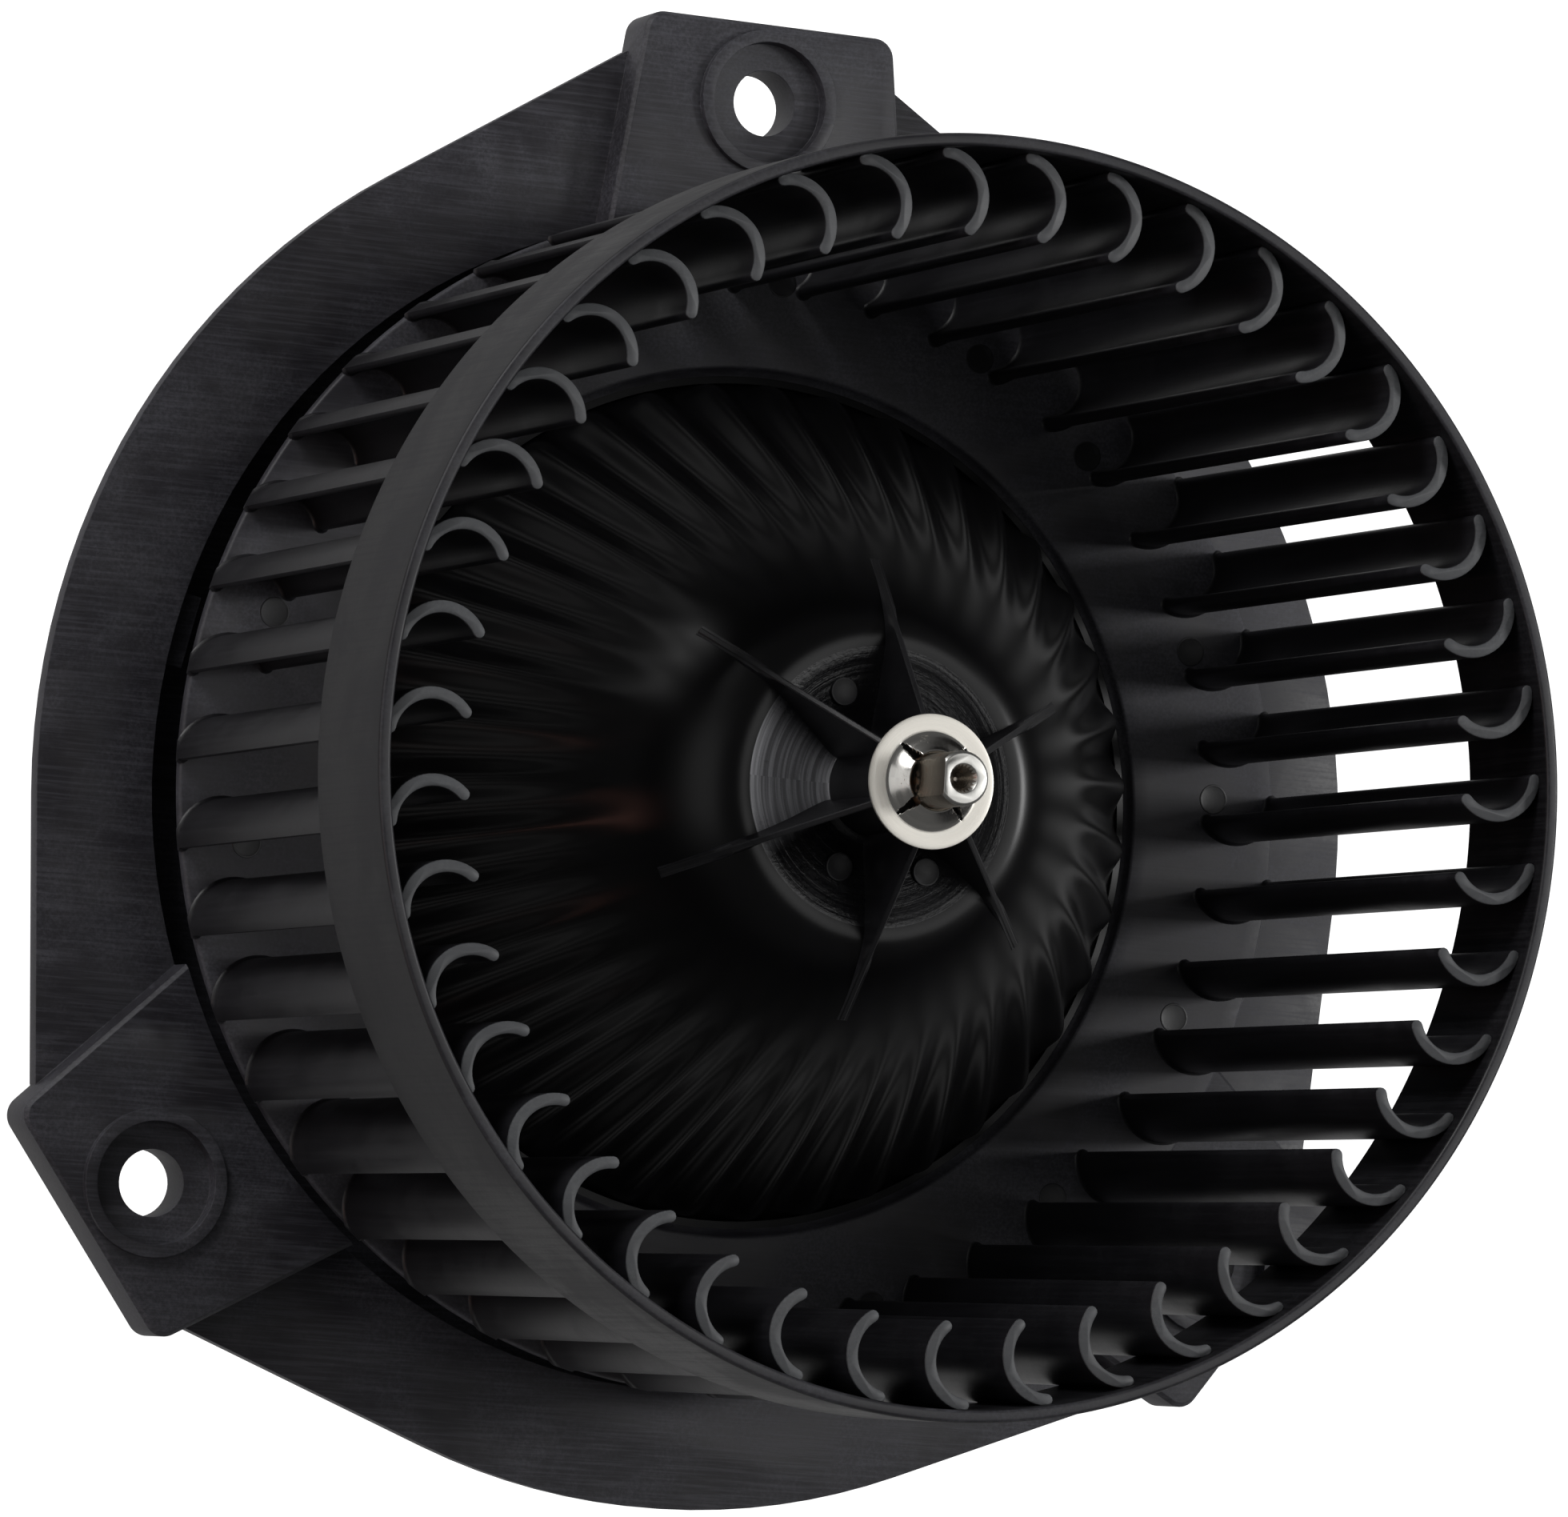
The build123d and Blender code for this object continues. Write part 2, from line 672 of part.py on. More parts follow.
# ---------------------------------------------------------------- rear cover
cover_wall = 2.2
cover_top_z = cradle_bottom_z + 8.0
cover_outer = cradle_outer + cover_wall

with BuildPart() as rear_cover:
    with BuildSketch(Plane.XY.offset(cover_bottom_z)):
        Circle(cover_outer)
    extrude(amount=cover_top_z - cover_bottom_z)
    with BuildSketch(Plane.XY.offset(cover_bottom_z + cover_wall)):
        Circle(isolator_outer)
    extrude(amount=cradle_bottom_z - cover_bottom_z, mode=Mode.SUBTRACT)
    with BuildSketch(Plane.XY.offset(cradle_bottom_z)):
        Circle(cradle_outer)
    extrude(amount=20.0, mode=Mode.SUBTRACT)
    with BuildSketch(Plane.XY.offset(cover_bottom_z)):
        with PolarLocations(22.0, 8, start_angle=22.5):
            SlotCenterToCenter(9.0, 3.6)
    extrude(amount=cover_wall, mode=Mode.SUBTRACT)
    fillet(rear_cover.edges().group_by(Axis.Z)[0].sort_by(SortBy.LENGTH)[-1], radius=1.2)

# ---------------------------------------------------------------- connector
socket_long = 17.0
socket_wide = 20.0
socket_high = 12.0
socket_wall = 1.8
socket_level = cover_bottom_z + socket_high / 2 + 2.0
socket_end = cover_outer + socket_long
socket_back = cover_outer + 3.0

with BuildPart() as connector_shell:
    with Locations((0, -(socket_end / 2 + 15.0), socket_level)):
        Box(socket_wide, socket_end - 30.0, socket_high)
    with BuildSketch(Plane.XY.offset(cover_bottom_z - 1)):
        Circle(cover_outer)
    extrude(amount=30.0, mode=Mode.SUBTRACT)
    with Locations((0, -(socket_back + 10.0), socket_level)):
        Box(socket_wide - 2 * socket_wall, 20.0, socket_high - 2 * socket_wall, mode=Mode.SUBTRACT)
    fillet(connector_shell.edges().filter_by(Axis.Y).group_by(Axis.Z)[0], radius=1.0)
    with Locations((0, -(socket_end - 3.5), socket_level + socket_high / 2 + 0.7)):
        Box(6.0, 5.0, 1.4)
    for side in (1, -1):
        with Locations((side * 4.2, -(socket_back - 2.0), socket_level)):
            Box(6.3, 12.0, 0.8, mode=Mode.SUBTRACT)

with BuildPart() as terminal_blades:
    for side in (1, -1):
        with Locations((side * 4.2, -(socket_back + 1.0), socket_level)):
            Box(6.3, 17.0, 0.8)

with BuildPart() as rear_cover_slotted:
    add(rear_cover.part)
    for side in (1, -1):
        with Locations((side * 4.2, -(socket_back + 1.0), socket_level)):
            Box(6.3, 17.0, 0.8, mode=Mode.SUBTRACT)

# ---------------------------------------------------------------- write the nodes
nodes = {
    "wheel_front_ring": wheel_front_ring,
    "wheel_blades": wheel_blades,
    "wheel_back_plate": wheel_back_plate,
    "wheel_bell": wheel_bell_ribbed,
    "wheel_hub": wheel_hub,
    "push_nut": push_nut,
    "shaft": shaft,
    "armature_core": armature_core,
    "armature_windings": armature_windings,
    "commutator": commutator,
    "shaft_spacers": shaft_spacers,
    "mounting_flange": mounting_flange_drilled,
    "motor_cradle": motor_cradle,
    "cradle_screws": cradle_screws,
    "isolator_rings": isolator_rings,
    "motor_yoke": motor_yoke,
    "front_bush": front_bush,
    "front_retainer": front_retainer,
    "field_magnets": field_magnets,
    "magnet_clips": magnet_clips,
    "end_plate": end_plate,
    "rear_bush": rear_bush,
    "rear_retainer": rear_retainer,
    "thrust_pad": thrust_pad,
    "brush_card": brush_card,
    "brush_holders": brush_holders,
    "brush_left": brush_left,
    "brush_right": brush_right,
    "spring_left": spring_left,
    "spring_right": spring_right,
    "rear_cover": rear_cover_slotted,
    "connector_shell": connector_shell,
    "terminal_blades": terminal_blades,
}

for name, node in nodes.items():
    lifted = node.part.moved(Location((0, 0, seat_height)))
    lifted.label = name
    export_step(lifted, "parts/" + name + ".step")
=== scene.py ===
import json
from math import cos, hypot, pi, radians, sin, sqrt

import bmesh
import bpy
from bpy.props import FloatProperty, FloatVectorProperty, IntProperty, PointerProperty
from mathutils import Matrix, Vector


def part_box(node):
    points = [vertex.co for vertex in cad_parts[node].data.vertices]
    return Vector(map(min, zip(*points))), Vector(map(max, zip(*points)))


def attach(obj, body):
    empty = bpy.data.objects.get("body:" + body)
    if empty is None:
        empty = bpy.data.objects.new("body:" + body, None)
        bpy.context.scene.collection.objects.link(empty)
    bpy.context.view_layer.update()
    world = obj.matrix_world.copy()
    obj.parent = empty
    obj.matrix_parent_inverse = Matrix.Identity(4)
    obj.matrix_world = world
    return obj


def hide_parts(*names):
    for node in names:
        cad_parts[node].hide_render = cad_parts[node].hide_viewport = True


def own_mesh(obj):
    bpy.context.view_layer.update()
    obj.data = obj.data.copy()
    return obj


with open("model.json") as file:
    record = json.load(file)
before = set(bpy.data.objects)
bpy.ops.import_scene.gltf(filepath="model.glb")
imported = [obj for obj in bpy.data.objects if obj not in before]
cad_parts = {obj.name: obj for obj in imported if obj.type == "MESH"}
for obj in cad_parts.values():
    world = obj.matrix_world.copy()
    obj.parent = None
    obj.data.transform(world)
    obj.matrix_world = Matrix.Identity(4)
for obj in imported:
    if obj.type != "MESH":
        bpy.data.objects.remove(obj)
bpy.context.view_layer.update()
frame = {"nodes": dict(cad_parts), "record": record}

bl_info = {
    "name": "Blower Motor Wheel",
    "version": (1, 0, 0),
    "blender": (4, 5, 0),
    "location": "View3D > Sidebar > Blower",
    "description": "Dresses a heater blower, its wheel, flange and motor, over the fixed frame",
    "category": "Object",
}

MM = 0.001


def node_box(name):
    """Lowest and highest corners of a frame node, in millimetres."""
    low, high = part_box(name)
    return Vector(low) / MM, Vector(high) / MM


# Rest positions read from the frame, in millimetres.
RING_LOW, RING_HIGH = node_box("wheel_front_ring")
BLADES_HIGH = node_box("wheel_blades")[1]
PLATE_LOW, PLATE_HIGH = node_box("wheel_back_plate")
BELL_LOW, BELL_HIGH = node_box("wheel_bell")
HUB_LOW, HUB_HIGH = node_box("wheel_hub")
NUT_LOW, NUT_HIGH = node_box("push_nut")
SHAFT_HIGH = node_box("shaft")[1]

SEAT_Z = next(m["pos_m"][2] for m in frame["record"]["mounts"] if m["name"] == "case_seat") / MM
RING_RADIUS = RING_HIGH.x
PLATE_FACE = PLATE_HIGH.z
BELL_FOOT_RADIUS = 51.3
BELL_TOP_RADIUS = 17.2
BLADE_COUNT = 43
PITCH = 2 * pi / BLADE_COUNT
BLADE_PHASE = radians(2.65)
BLADE_TIP_RADIUS = 62.2
BLADE_TIP_DROP = 3.26
BLADE_ARC_START = 220.7
BLADE_ARC_SWEEP = 132.0
FLUTE_PHASE = radians(7.0)
FLUTE_FULL_RADIUS = 46.0
DISH_EDGE_RADIUS = 14.5
DISH_LIP = 0.42
HUB_RADIUS = 5.8
FIN_REACH = 27.0
FIN_ANGLES = (26.0, 89.5, 142.0, 206.0, 269.5, 322.0)
DISC_MARK_RADIUS = 63.0
DISC_MARK_ANGLE = radians(47.1)
DISC_MARK_GAPS = (0, *range(3, 6, 2), *range(8, 42, 3))
DISH_MARKS = ((-5.0, 10.7), (-4.1, -9.6), (6.8, -9.3))
MARK_STEPS = 28


# ---------------------------------------------------------------- sizes and colours


def setting(label, text, start, low, high, **more):
    """A number setting with its tooltip, first value and limits."""
    return FloatProperty(name=label, description=text, default=start, min=low, max=high, **more)


def tint(label, text, start):
    """A colour setting."""
    return FloatVectorProperty(
        name=label, description=text, subtype="COLOR", size=3, min=0.0, max=1.0, default=start)


def watts(label, text, start):
    """The power setting of a lamp."""
    return setting(label, text, start, 0.0, 100.0, unit="POWER")


class BlowerWheelSizes(bpy.types.PropertyGroup):
    """Sizes of the wheel's surfaces, in millimetres."""

    ring_wall: setting("Ring wall", "Thickness of the front ring, mm", 1.5, 0.8, 4.0)
    ring_round: setting("Ring edge radius", "Rounding of the ring's edges, mm", 0.45, 0.1, 0.7)
    blade_thickness: setting("Blade thickness", "Thickness of a blade, mm", 1.4, 0.6, 3.0)
    blade_radius: setting("Blade arc radius", "Radius of a blade's section, mm", 5.0, 3.0, 8.0)
    flute_depth: setting("Flute depth", "Depth of the bell's flutes at the foot, mm", 1.6, 0.0, 3.0)
    flute_count: IntProperty(
        name="Flutes", description="Number of flutes round the bell", default=39, min=12, max=60)
    flute_start: setting("Flute start", "Radius where the flutes fade in, mm", 27.0, 18.0, 40.0)
    dish_depth: setting("Dish depth", "Depth of the dish round the hub, mm", 1.9, 0.5, 4.0)
    fin_thickness: setting("Fin thickness", "Thickness of a hub fin at its root, mm", 1.0, 0.6, 2.0)


class BlowerFinish(bpy.types.PropertyGroup):
    """Colours of the visible materials."""

    plastic: tint("Plastic", "Colour of the moulded parts", (0.0086, 0.0082, 0.0100))
    plastic_bloom: tint("Plastic bloom", "Colour of the dull film on the plastic", (0.0275, 0.0275, 0.0325))
    nickel: tint("Nickel", "Colour of the nut's plating", (0.83, 0.80, 0.73))
    steel: tint("Steel", "Colour of the ground shaft", (0.50, 0.45, 0.39))
    rust: tint("Rust", "Colour of the rust on the shaft", (0.20, 0.085, 0.03))


class BlowerStage(bpy.types.PropertyGroup):
    """The studio round the blower."""

    floor_glow: setting("Floor glow", "Light that the pale floor gives off", 0.2, 0.0, 2.0)
    floor_white: setting("Floor white", "Extra white of the floor in the picture", 0.85, 0.0, 2.0)
    room_light: setting("Room light", "Strength of the even light of the room", 0.09, 0.0, 3.0)
    front_power: watts("Front light", "Power of the large soft light in front", 1.3)
    side_power: watts("Side light", "Power of the small light on the right", 3.6)
    left_power: watts("Left light", "Power of the soft light at the upper left", 4.5)
    low_power: watts("Low light", "Power of the wide soft light on the left", 1.2)
    strip_power: watts("Warm strip", "Power of the narrow warm light on the left", 0.35)
    lens: setting("Lens", "Focal length of the camera", 215.1, 20.0, 400.0, unit="CAMERA")


# ---------------------------------------------------------------- meshes


def make_piece(name, points, faces, material, body, node=None, sharp=38.0):
    """A piece from millimetre points, smooth but for edges sharper than an angle."""
    mesh = bpy.data.meshes.new(name)
    mesh.from_pydata([Vector(p) * MM for p in points], [], faces)
    mesh.validate()
    shaped = bmesh.new()
    shaped.from_mesh(mesh)
    bmesh.ops.remove_doubles(shaped, verts=shaped.verts, dist=2e-6)
    bmesh.ops.recalc_face_normals(shaped, faces=shaped.faces)
    shaped.to_mesh(mesh)
    shaped.free()
    return add_piece(name, mesh, material, body, node, sharp)


def wheel_piece(name, points, faces, key, node=None, sharp=38.0):
    """A moulded piece of the wheel, in the material of a key."""
    return make_piece(name, points, faces, materials()[key], "rotor", node, sharp)


def add_piece(name, mesh, material, body, node=None, sharp=38.0):
    """Links a mesh as a piece that rides on a body and may stand for a node."""
    mesh.materials.clear()
    mesh.materials.append(material)
    for face in mesh.polygons:
        face.use_smooth = True
        face.material_index = 0
    mesh.set_sharp_from_angle(angle=radians(sharp))
    piece = bpy.data.objects.new(name, mesh)
    bpy.context.scene.collection.objects.link(piece)
    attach(piece, body)
    if node:
        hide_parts(node)
    return piece


def second_finish(piece, material, chosen):
    """Gives the faces picked by centre (mm) and normal another material."""
    piece.data.materials.append(material)
    for face in piece.data.polygons:
        if chosen(face.center / MM, face.normal):
            face.material_index = 1


def arc_points(centre, radius, start, end, steps):
    """Points of an arc in the radius-height plane, angles in degrees."""
    return [
        (centre[0] + radius * cos(radians(start + (end - start) * k / steps)),
         centre[1] + radius * sin(radians(start + (end - start) * k / steps)))
        for k in range(steps + 1)
    ]


def lathe(profile, steps, closed=True, wave=None):
    """Points and faces of a profile (radius, height) turned about Z; wave moves a point."""
    points = []
    for k in range(steps):
        angle = 2 * pi * k / steps
        for number, (radius, height) in enumerate(profile):
            if wave:
                radius, height = wave(number, radius, height, angle)
            points.append((radius * cos(angle), radius * sin(angle), height))
    size = len(profile)
    faces = []
    rows = size if closed else size - 1
    for k in range(steps):
        here, there = k * size, (k + 1) % steps * size
        for row in range(rows):
            after = (row + 1) % size
            faces.append((here + row, there + row, there + after, here + after))
    return points, faces


def prism(outline, layers):
    """Points and faces of stacked outlines; each layer is a height and an outline maker's value."""
    points = []
    size = 0
    for height, value in layers:
        ring = outline(value)
        size = len(ring)
        points += [(x, y, height) for x, y in ring]
    faces = [tuple(range(size - 1, -1, -1)), tuple(range((len(layers) - 1) * size, len(layers) * size))]
    for layer in range(len(layers) - 1):
        low = layer * size
        for k in range(size):
            after = (k + 1) % size
            faces.append((low + k, low + after, low + size + after, low + size + k))
    return points, faces


def turned(points, angle):
    """Points turned about Z."""
    c, s = cos(angle), sin(angle)
    return [(x * c - y * s, x * s + y * c, z) for x, y, z in points]


def repeat_round(points, faces, angles):
    """The same solid at several angles about Z."""
    every_point, every_face = [], []
    for angle in angles:
        base = len(every_point)
        every_point += turned(points, angle)
        every_face += [tuple(base + corner for corner in face) for face in faces]
    return every_point, every_face


def softened_copy(node, name, key, width, segments=2, corner=28.0, body="frame"):
    """A copy of a frame node whose corners are rounded by a small width in millimetres."""
    mesh = frame["nodes"][node].data.copy()
    mesh.name = name
    shaped = bmesh.new()
    shaped.from_mesh(mesh)
    bmesh.ops.remove_doubles(shaped, verts=shaped.verts, dist=1e-6)
    bmesh.ops.dissolve_limit(shaped, angle_limit=radians(0.8), verts=shaped.verts, edges=shaped.edges)
    bmesh.ops.recalc_face_normals(shaped, faces=shaped.faces)
    shaped.to_mesh(mesh)
    shaped.free()
    piece = add_piece(name, mesh, materials()[key], body, node, corner)
    bevel = piece.modifiers.new("corners", "BEVEL")
    bevel.width = width * MM
    bevel.segments = segments
    bevel.limit_method = "ANGLE"
    bevel.angle_limit = radians(corner)
    bevel.use_clamp_overlap = True
    bevel.harden_normals = False
    apply_modifiers(piece)
    piece.data.set_sharp_from_angle(angle=radians(corner + 8.0))
    return piece


def apply_modifiers(piece):
    """Leaves a piece with its final mesh and no modifiers."""
    bpy.context.view_layer.update()
    final = bpy.data.meshes.new_from_object(piece.evaluated_get(bpy.context.evaluated_depsgraph_get()))
    piece.modifiers.clear()
    piece.data = final


def dress(key, *nodes):
    """Gives frame nodes the material of a key."""
    for node in nodes:
        mesh = frame["nodes"][node].data
        mesh.materials.clear()
        mesh.materials.append(materials()[key])
        for face in mesh.polygons:
            face.material_index = 0


# ---------------------------------------------------------------- shader groups


def new_group(name, inputs, outputs):
    """A shader group from its inputs' names and defaults and its outputs' names."""
    group = bpy.data.node_groups.new(name, "ShaderNodeTree")
    for label, default in inputs.items():
        kind = "NodeSocketColor" if isinstance(default, tuple) else "NodeSocketFloat"
        group.interface.new_socket(label, in_out="INPUT", socket_type=kind).default_value = default
    for label in outputs:
        kind = "NodeSocketColor" if label == "Color" else "NodeSocketFloat"
        group.interface.new_socket(label, in_out="OUTPUT", socket_type=kind)
    return group, group.nodes.new("NodeGroupInput"), group.nodes.new("NodeGroupOutput")


def link(tree, start, end):
    """Joins an output socket to an input socket."""
    tree.links.new(start, end)


def math_node(tree, kind, first, second=None, clamp=False):
    """A math node fed by sockets or numbers; returns its output."""
    node = tree.nodes.new("ShaderNodeMath")
    node.operation = kind
    node.use_clamp = clamp
    for number, value in enumerate((first, second)):
        if value is None:
            continue
        if isinstance(value, (int, float)):
            node.inputs[number].default_value = value
        else:
            link(tree, value, node.inputs[number])
    return node.outputs[0]


def times(tree, first, second, clamp=False):
    """The product of two sockets or numbers."""
    return math_node(tree, "MULTIPLY", first, second, clamp)


def plus(tree, first, second, clamp=False):
    """The sum of two sockets or numbers."""
    return math_node(tree, "ADD", first, second, clamp)


def object_place(tree):
    """Coordinates in the frame, in metres."""
    return tree.nodes.new("ShaderNodeTexCoord").outputs["Object"]


def mix_colour(tree, share, first, second):
    """A colour mixed by a share; returns the output socket."""
    node = tree.nodes.new("ShaderNodeMix")
    node.data_type = "RGBA"
    for index, value in ((0, share), (6, first), (7, second)):
        if isinstance(value, (int, float)):
            node.inputs[index].default_value = value
        elif isinstance(value, (tuple, list)):
            node.inputs[index].default_value = (*value[:3], 1.0)
        else:
            link(tree, value, node.inputs[index])
    return node.outputs[2]


def spread(tree, value, low, high, to_low=0.0, to_high=1.0):
    """A value mapped smoothly and clamped from one range to another."""
    node = tree.nodes.new("ShaderNodeMapRange")
    node.interpolation_type = "SMOOTHSTEP"
    link(tree, value, node.inputs["Value"])
    for label, number in (("From Min", low), ("From Max", high), ("To Min", to_low), ("To Max", to_high)):
        if isinstance(number, (int, float)):
            node.inputs[label].default_value = number
        else:
            link(tree, number, node.inputs[label])
    return node.outputs["Result"]


def noise(tree, vector, scale, detail=3.0, rough=0.5, distortion=0.0):
    """A noise texture; returns its value output."""
    node = tree.nodes.new("ShaderNodeTexNoise")
    link(tree, vector, node.inputs["Vector"])
    if isinstance(scale, (int, float)):
        node.inputs["Scale"].default_value = scale
    else:
        link(tree, scale, node.inputs["Scale"])
    node.inputs["Detail"].default_value = detail
    node.inputs["Roughness"].default_value = rough
    node.inputs["Distortion"].default_value = distortion
    return node.outputs["Fac"]


def stretched(tree, vector, scale):
    """Coordinates stretched by three numbers."""
    node = tree.nodes.new("ShaderNodeVectorMath")
    node.operation = "MULTIPLY"
    link(tree, vector, node.inputs[0])
    node.inputs[1].default_value = scale
    return node.outputs[0]


def polar(tree, vector):
    """Distance from the shaft axis, angle round it in radians, and height along it."""
    parts = tree.nodes.new("ShaderNodeSeparateXYZ")
    link(tree, vector, parts.inputs[0])
    squares = plus(tree, math_node(tree, "POWER", parts.outputs[0], 2.0),
                   math_node(tree, "POWER", parts.outputs[1], 2.0))
    radius = math_node(tree, "SQRT", squares)
    turn = math_node(tree, "ARCTAN2", parts.outputs[1], parts.outputs[0])
    return radius, turn, parts.outputs[2]


def build_mould_skin():
    """Fine grain, cloudy bloom and drawn-out polishing lines of a moulded plastic skin."""
    group, source, sink = new_group(
        "Mould Skin",
        {"Base": (0.01, 0.01, 0.01, 1), "Bloom": (0.03, 0.03, 0.03, 1), "Bloom Amount": 0.5,
         "Grain Scale": 2600.0, "Line Amount": 0.4, "Line Lean": 0.0, "Roughness Low": 0.34,
         "Roughness High": 0.52},
        ("Color", "Roughness", "Height"))
    spot = object_place(group)
    grain = noise(group, spot, source.outputs["Grain Scale"], 4.0, 0.62)
    cloud = spread(group, noise(group, spot, 70.0, 5.0, 0.6, 0.4), 0.36, 0.66)
    level = noise(group, stretched(group, spot, (90.0, 2400.0, 2400.0)), 1.0, 3.0, 0.6)
    upright = noise(group, stretched(group, spot, (1900.0, 1900.0, 45.0)), 1.0, 3.0, 0.6)
    lean = group.nodes.new("ShaderNodeMix")
    lean.data_type = "FLOAT"
    link(group, source.outputs["Line Lean"], lean.inputs[0])
    link(group, level, lean.inputs[2])
    link(group, upright, lean.inputs[3])
    lines = spread(group, lean.outputs[0], 0.42, 0.68)
    drawn = times(group, lines, source.outputs["Line Amount"])
    film = times(group, spread(group, grain, 0.35, 0.7, 0.25, 1.0), cloud)
    film = plus(group, times(group, film, source.outputs["Bloom Amount"]),
                     times(group, drawn, 0.6), True)
    shade_out = mix_colour(group, film, source.outputs["Base"], source.outputs["Bloom"])
    link(group, shade_out, sink.inputs["Color"])
    mixed = plus(group, times(group, grain, 0.55),
                      times(group, cloud, 0.45))
    mixed = plus(group, mixed, times(group, drawn, 0.35), True)
    rough = spread(group, mixed, 0.1, 1.0, source.outputs["Roughness Low"], source.outputs["Roughness High"])
    link(group, rough, sink.inputs["Roughness"])
    height = plus(group, grain, times(group, drawn, 0.8))
    link(group, height, sink.inputs["Height"])
    return group


def build_edge_rub():
    """Edges rubbed pale by handling, broken up by noise."""
    group, source, sink = new_group(
        "Edge Rub",
        {"Low": 0.52, "High": 0.60, "Amount": 0.6, "Break Scale": 420.0}, ("Mask",))
    point = group.nodes.new("ShaderNodeNewGeometry").outputs["Pointiness"]
    spot = object_place(group)
    edge = spread(group, point, source.outputs["Low"], source.outputs["High"])
    patches = noise(group, spot, source.outputs["Break Scale"], 4.0, 0.65)
    broken = spread(group, patches, 0.38, 0.62, 0.25, 1.0)
    mask = times(group, times(group, edge, broken), source.outputs["Amount"], True)
    link(group, mask, sink.inputs["Mask"])
    return group


def build_dust():
    """Dust lying on faces that look up the shaft axis, and specks here and there."""
    group, source, sink = new_group(
        "Dust",
        {"Amount": 0.2, "Speck Scale": 900.0}, ("Mask",))
    geometry = group.nodes.new("ShaderNodeTexCoord")
    parts = group.nodes.new("ShaderNodeSeparateXYZ")
    link(group, geometry.outputs["Normal"], parts.inputs[0])
    facing = spread(group, parts.outputs[2], 0.35, 0.95)
    patch = spread(group, noise(group, geometry.outputs["Object"], 120.0, 4.0, 0.6), 0.42, 0.68)
    cells = group.nodes.new("ShaderNodeTexVoronoi")
    link(group, geometry.outputs["Object"], cells.inputs["Vector"])
    link(group, source.outputs["Speck Scale"], cells.inputs["Scale"])
    speck = spread(group, cells.outputs["Distance"], 0.16, 0.06)
    lying = times(group, facing, patch)
    both = math_node(group, "MAXIMUM", times(group, lying, 0.5),
                     times(group, speck, lying))
    link(group, times(group, both, source.outputs["Amount"], True), sink.inputs["Mask"])
    return group


def build_turned_lines():
    """Fine rings left by turning or drawing about the shaft axis."""
    group, source, sink = new_group(
        "Turned Lines",
        {"Ring Scale": 5200.0, "Along Shaft": 0.5}, ("Lines", "Height"))
    spot = object_place(group)
    radius, turn, height = polar(group, spot)
    place = plus(group, radius, times(group, height, source.outputs["Along Shaft"]))
    slip = group.nodes.new("ShaderNodeCombineXYZ")
    link(group, times(group, place, source.outputs["Ring Scale"]), slip.inputs[0])
    link(group, times(group, turn, 0.35), slip.inputs[1])
    lines = noise(group, slip.outputs[0], 1.0, 3.0, 0.6)
    link(group, spread(group, lines, 0.3, 0.7), sink.inputs["Lines"])
    link(group, lines, sink.inputs["Height"])
    return group


def build_tarnish():
    """Patches of tarnish and rust with a grainy edge."""
    group, source, sink = new_group(
        "Tarnish",
        {"Cover": 0.4, "Patch Scale": 260.0}, ("Mask", "Height"))
    spot = object_place(group)
    wide = noise(group, spot, source.outputs["Patch Scale"], 5.0, 0.68, 0.6)
    fine = noise(group, spot, 3200.0, 3.0, 0.6)
    value = plus(group, wide, times(group, math_node(group, "SUBTRACT", fine, 0.5), 0.22))
    edge = math_node(group, "SUBTRACT", 0.72, times(group, source.outputs["Cover"], 0.4))
    mask = spread(group, value, edge, plus(group, edge, 0.1))
    link(group, mask, sink.inputs["Mask"])
    link(group, times(group, mask, fine), sink.inputs["Height"])
    return group


GROUPS = {}


def shared_groups():
    """Builds the shared shader groups once."""
    if not GROUPS:
        GROUPS["skin"] = build_mould_skin()
        GROUPS["rub"] = build_edge_rub()
        GROUPS["dust"] = build_dust()
        GROUPS["turned"] = build_turned_lines()
        GROUPS["tarnish"] = build_tarnish()
    return GROUPS


def place_group(tree, key, **values):
    """Puts a shared group into a material with its own values."""
    node = tree.nodes.new("ShaderNodeGroup")
    node.node_tree = shared_groups()[key]
    for label, value in values.items():
        node.inputs[label.replace("_", " ")].default_value = value
    return node


# ---------------------------------------------------------------- materials


def shade(base, factor):
    """A colour made lighter or darker, at most white."""
    return tuple(min(1.0, factor * part) for part in base)


def new_material(name, base, roughness, metallic=0.0, specular=0.5):
    """A material with one Principled shader; returns it with its node tree and shader."""
    material = bpy.data.materials.new(name)
    material.use_nodes = True
    tree = material.node_tree
    shader = tree.nodes["Principled BSDF"]
    shader.inputs["Base Color"].default_value = (*base, 1.0)
    shader.inputs["Roughness"].default_value = roughness
    shader.inputs["Metallic"].default_value = metallic
    shader.inputs["Specular IOR Level"].default_value = specular
    return material, tree, shader


def bump(tree, shader, height, strength, distance):
    """Feeds a height through a Bump node to the shader's normal."""
    node = tree.nodes.new("ShaderNodeBump")
    node.inputs["Strength"].default_value = strength
    node.inputs["Distance"].default_value = distance
    link(tree, height, node.inputs["Height"])
    link(tree, node.outputs["Normal"], shader.inputs["Normal"])


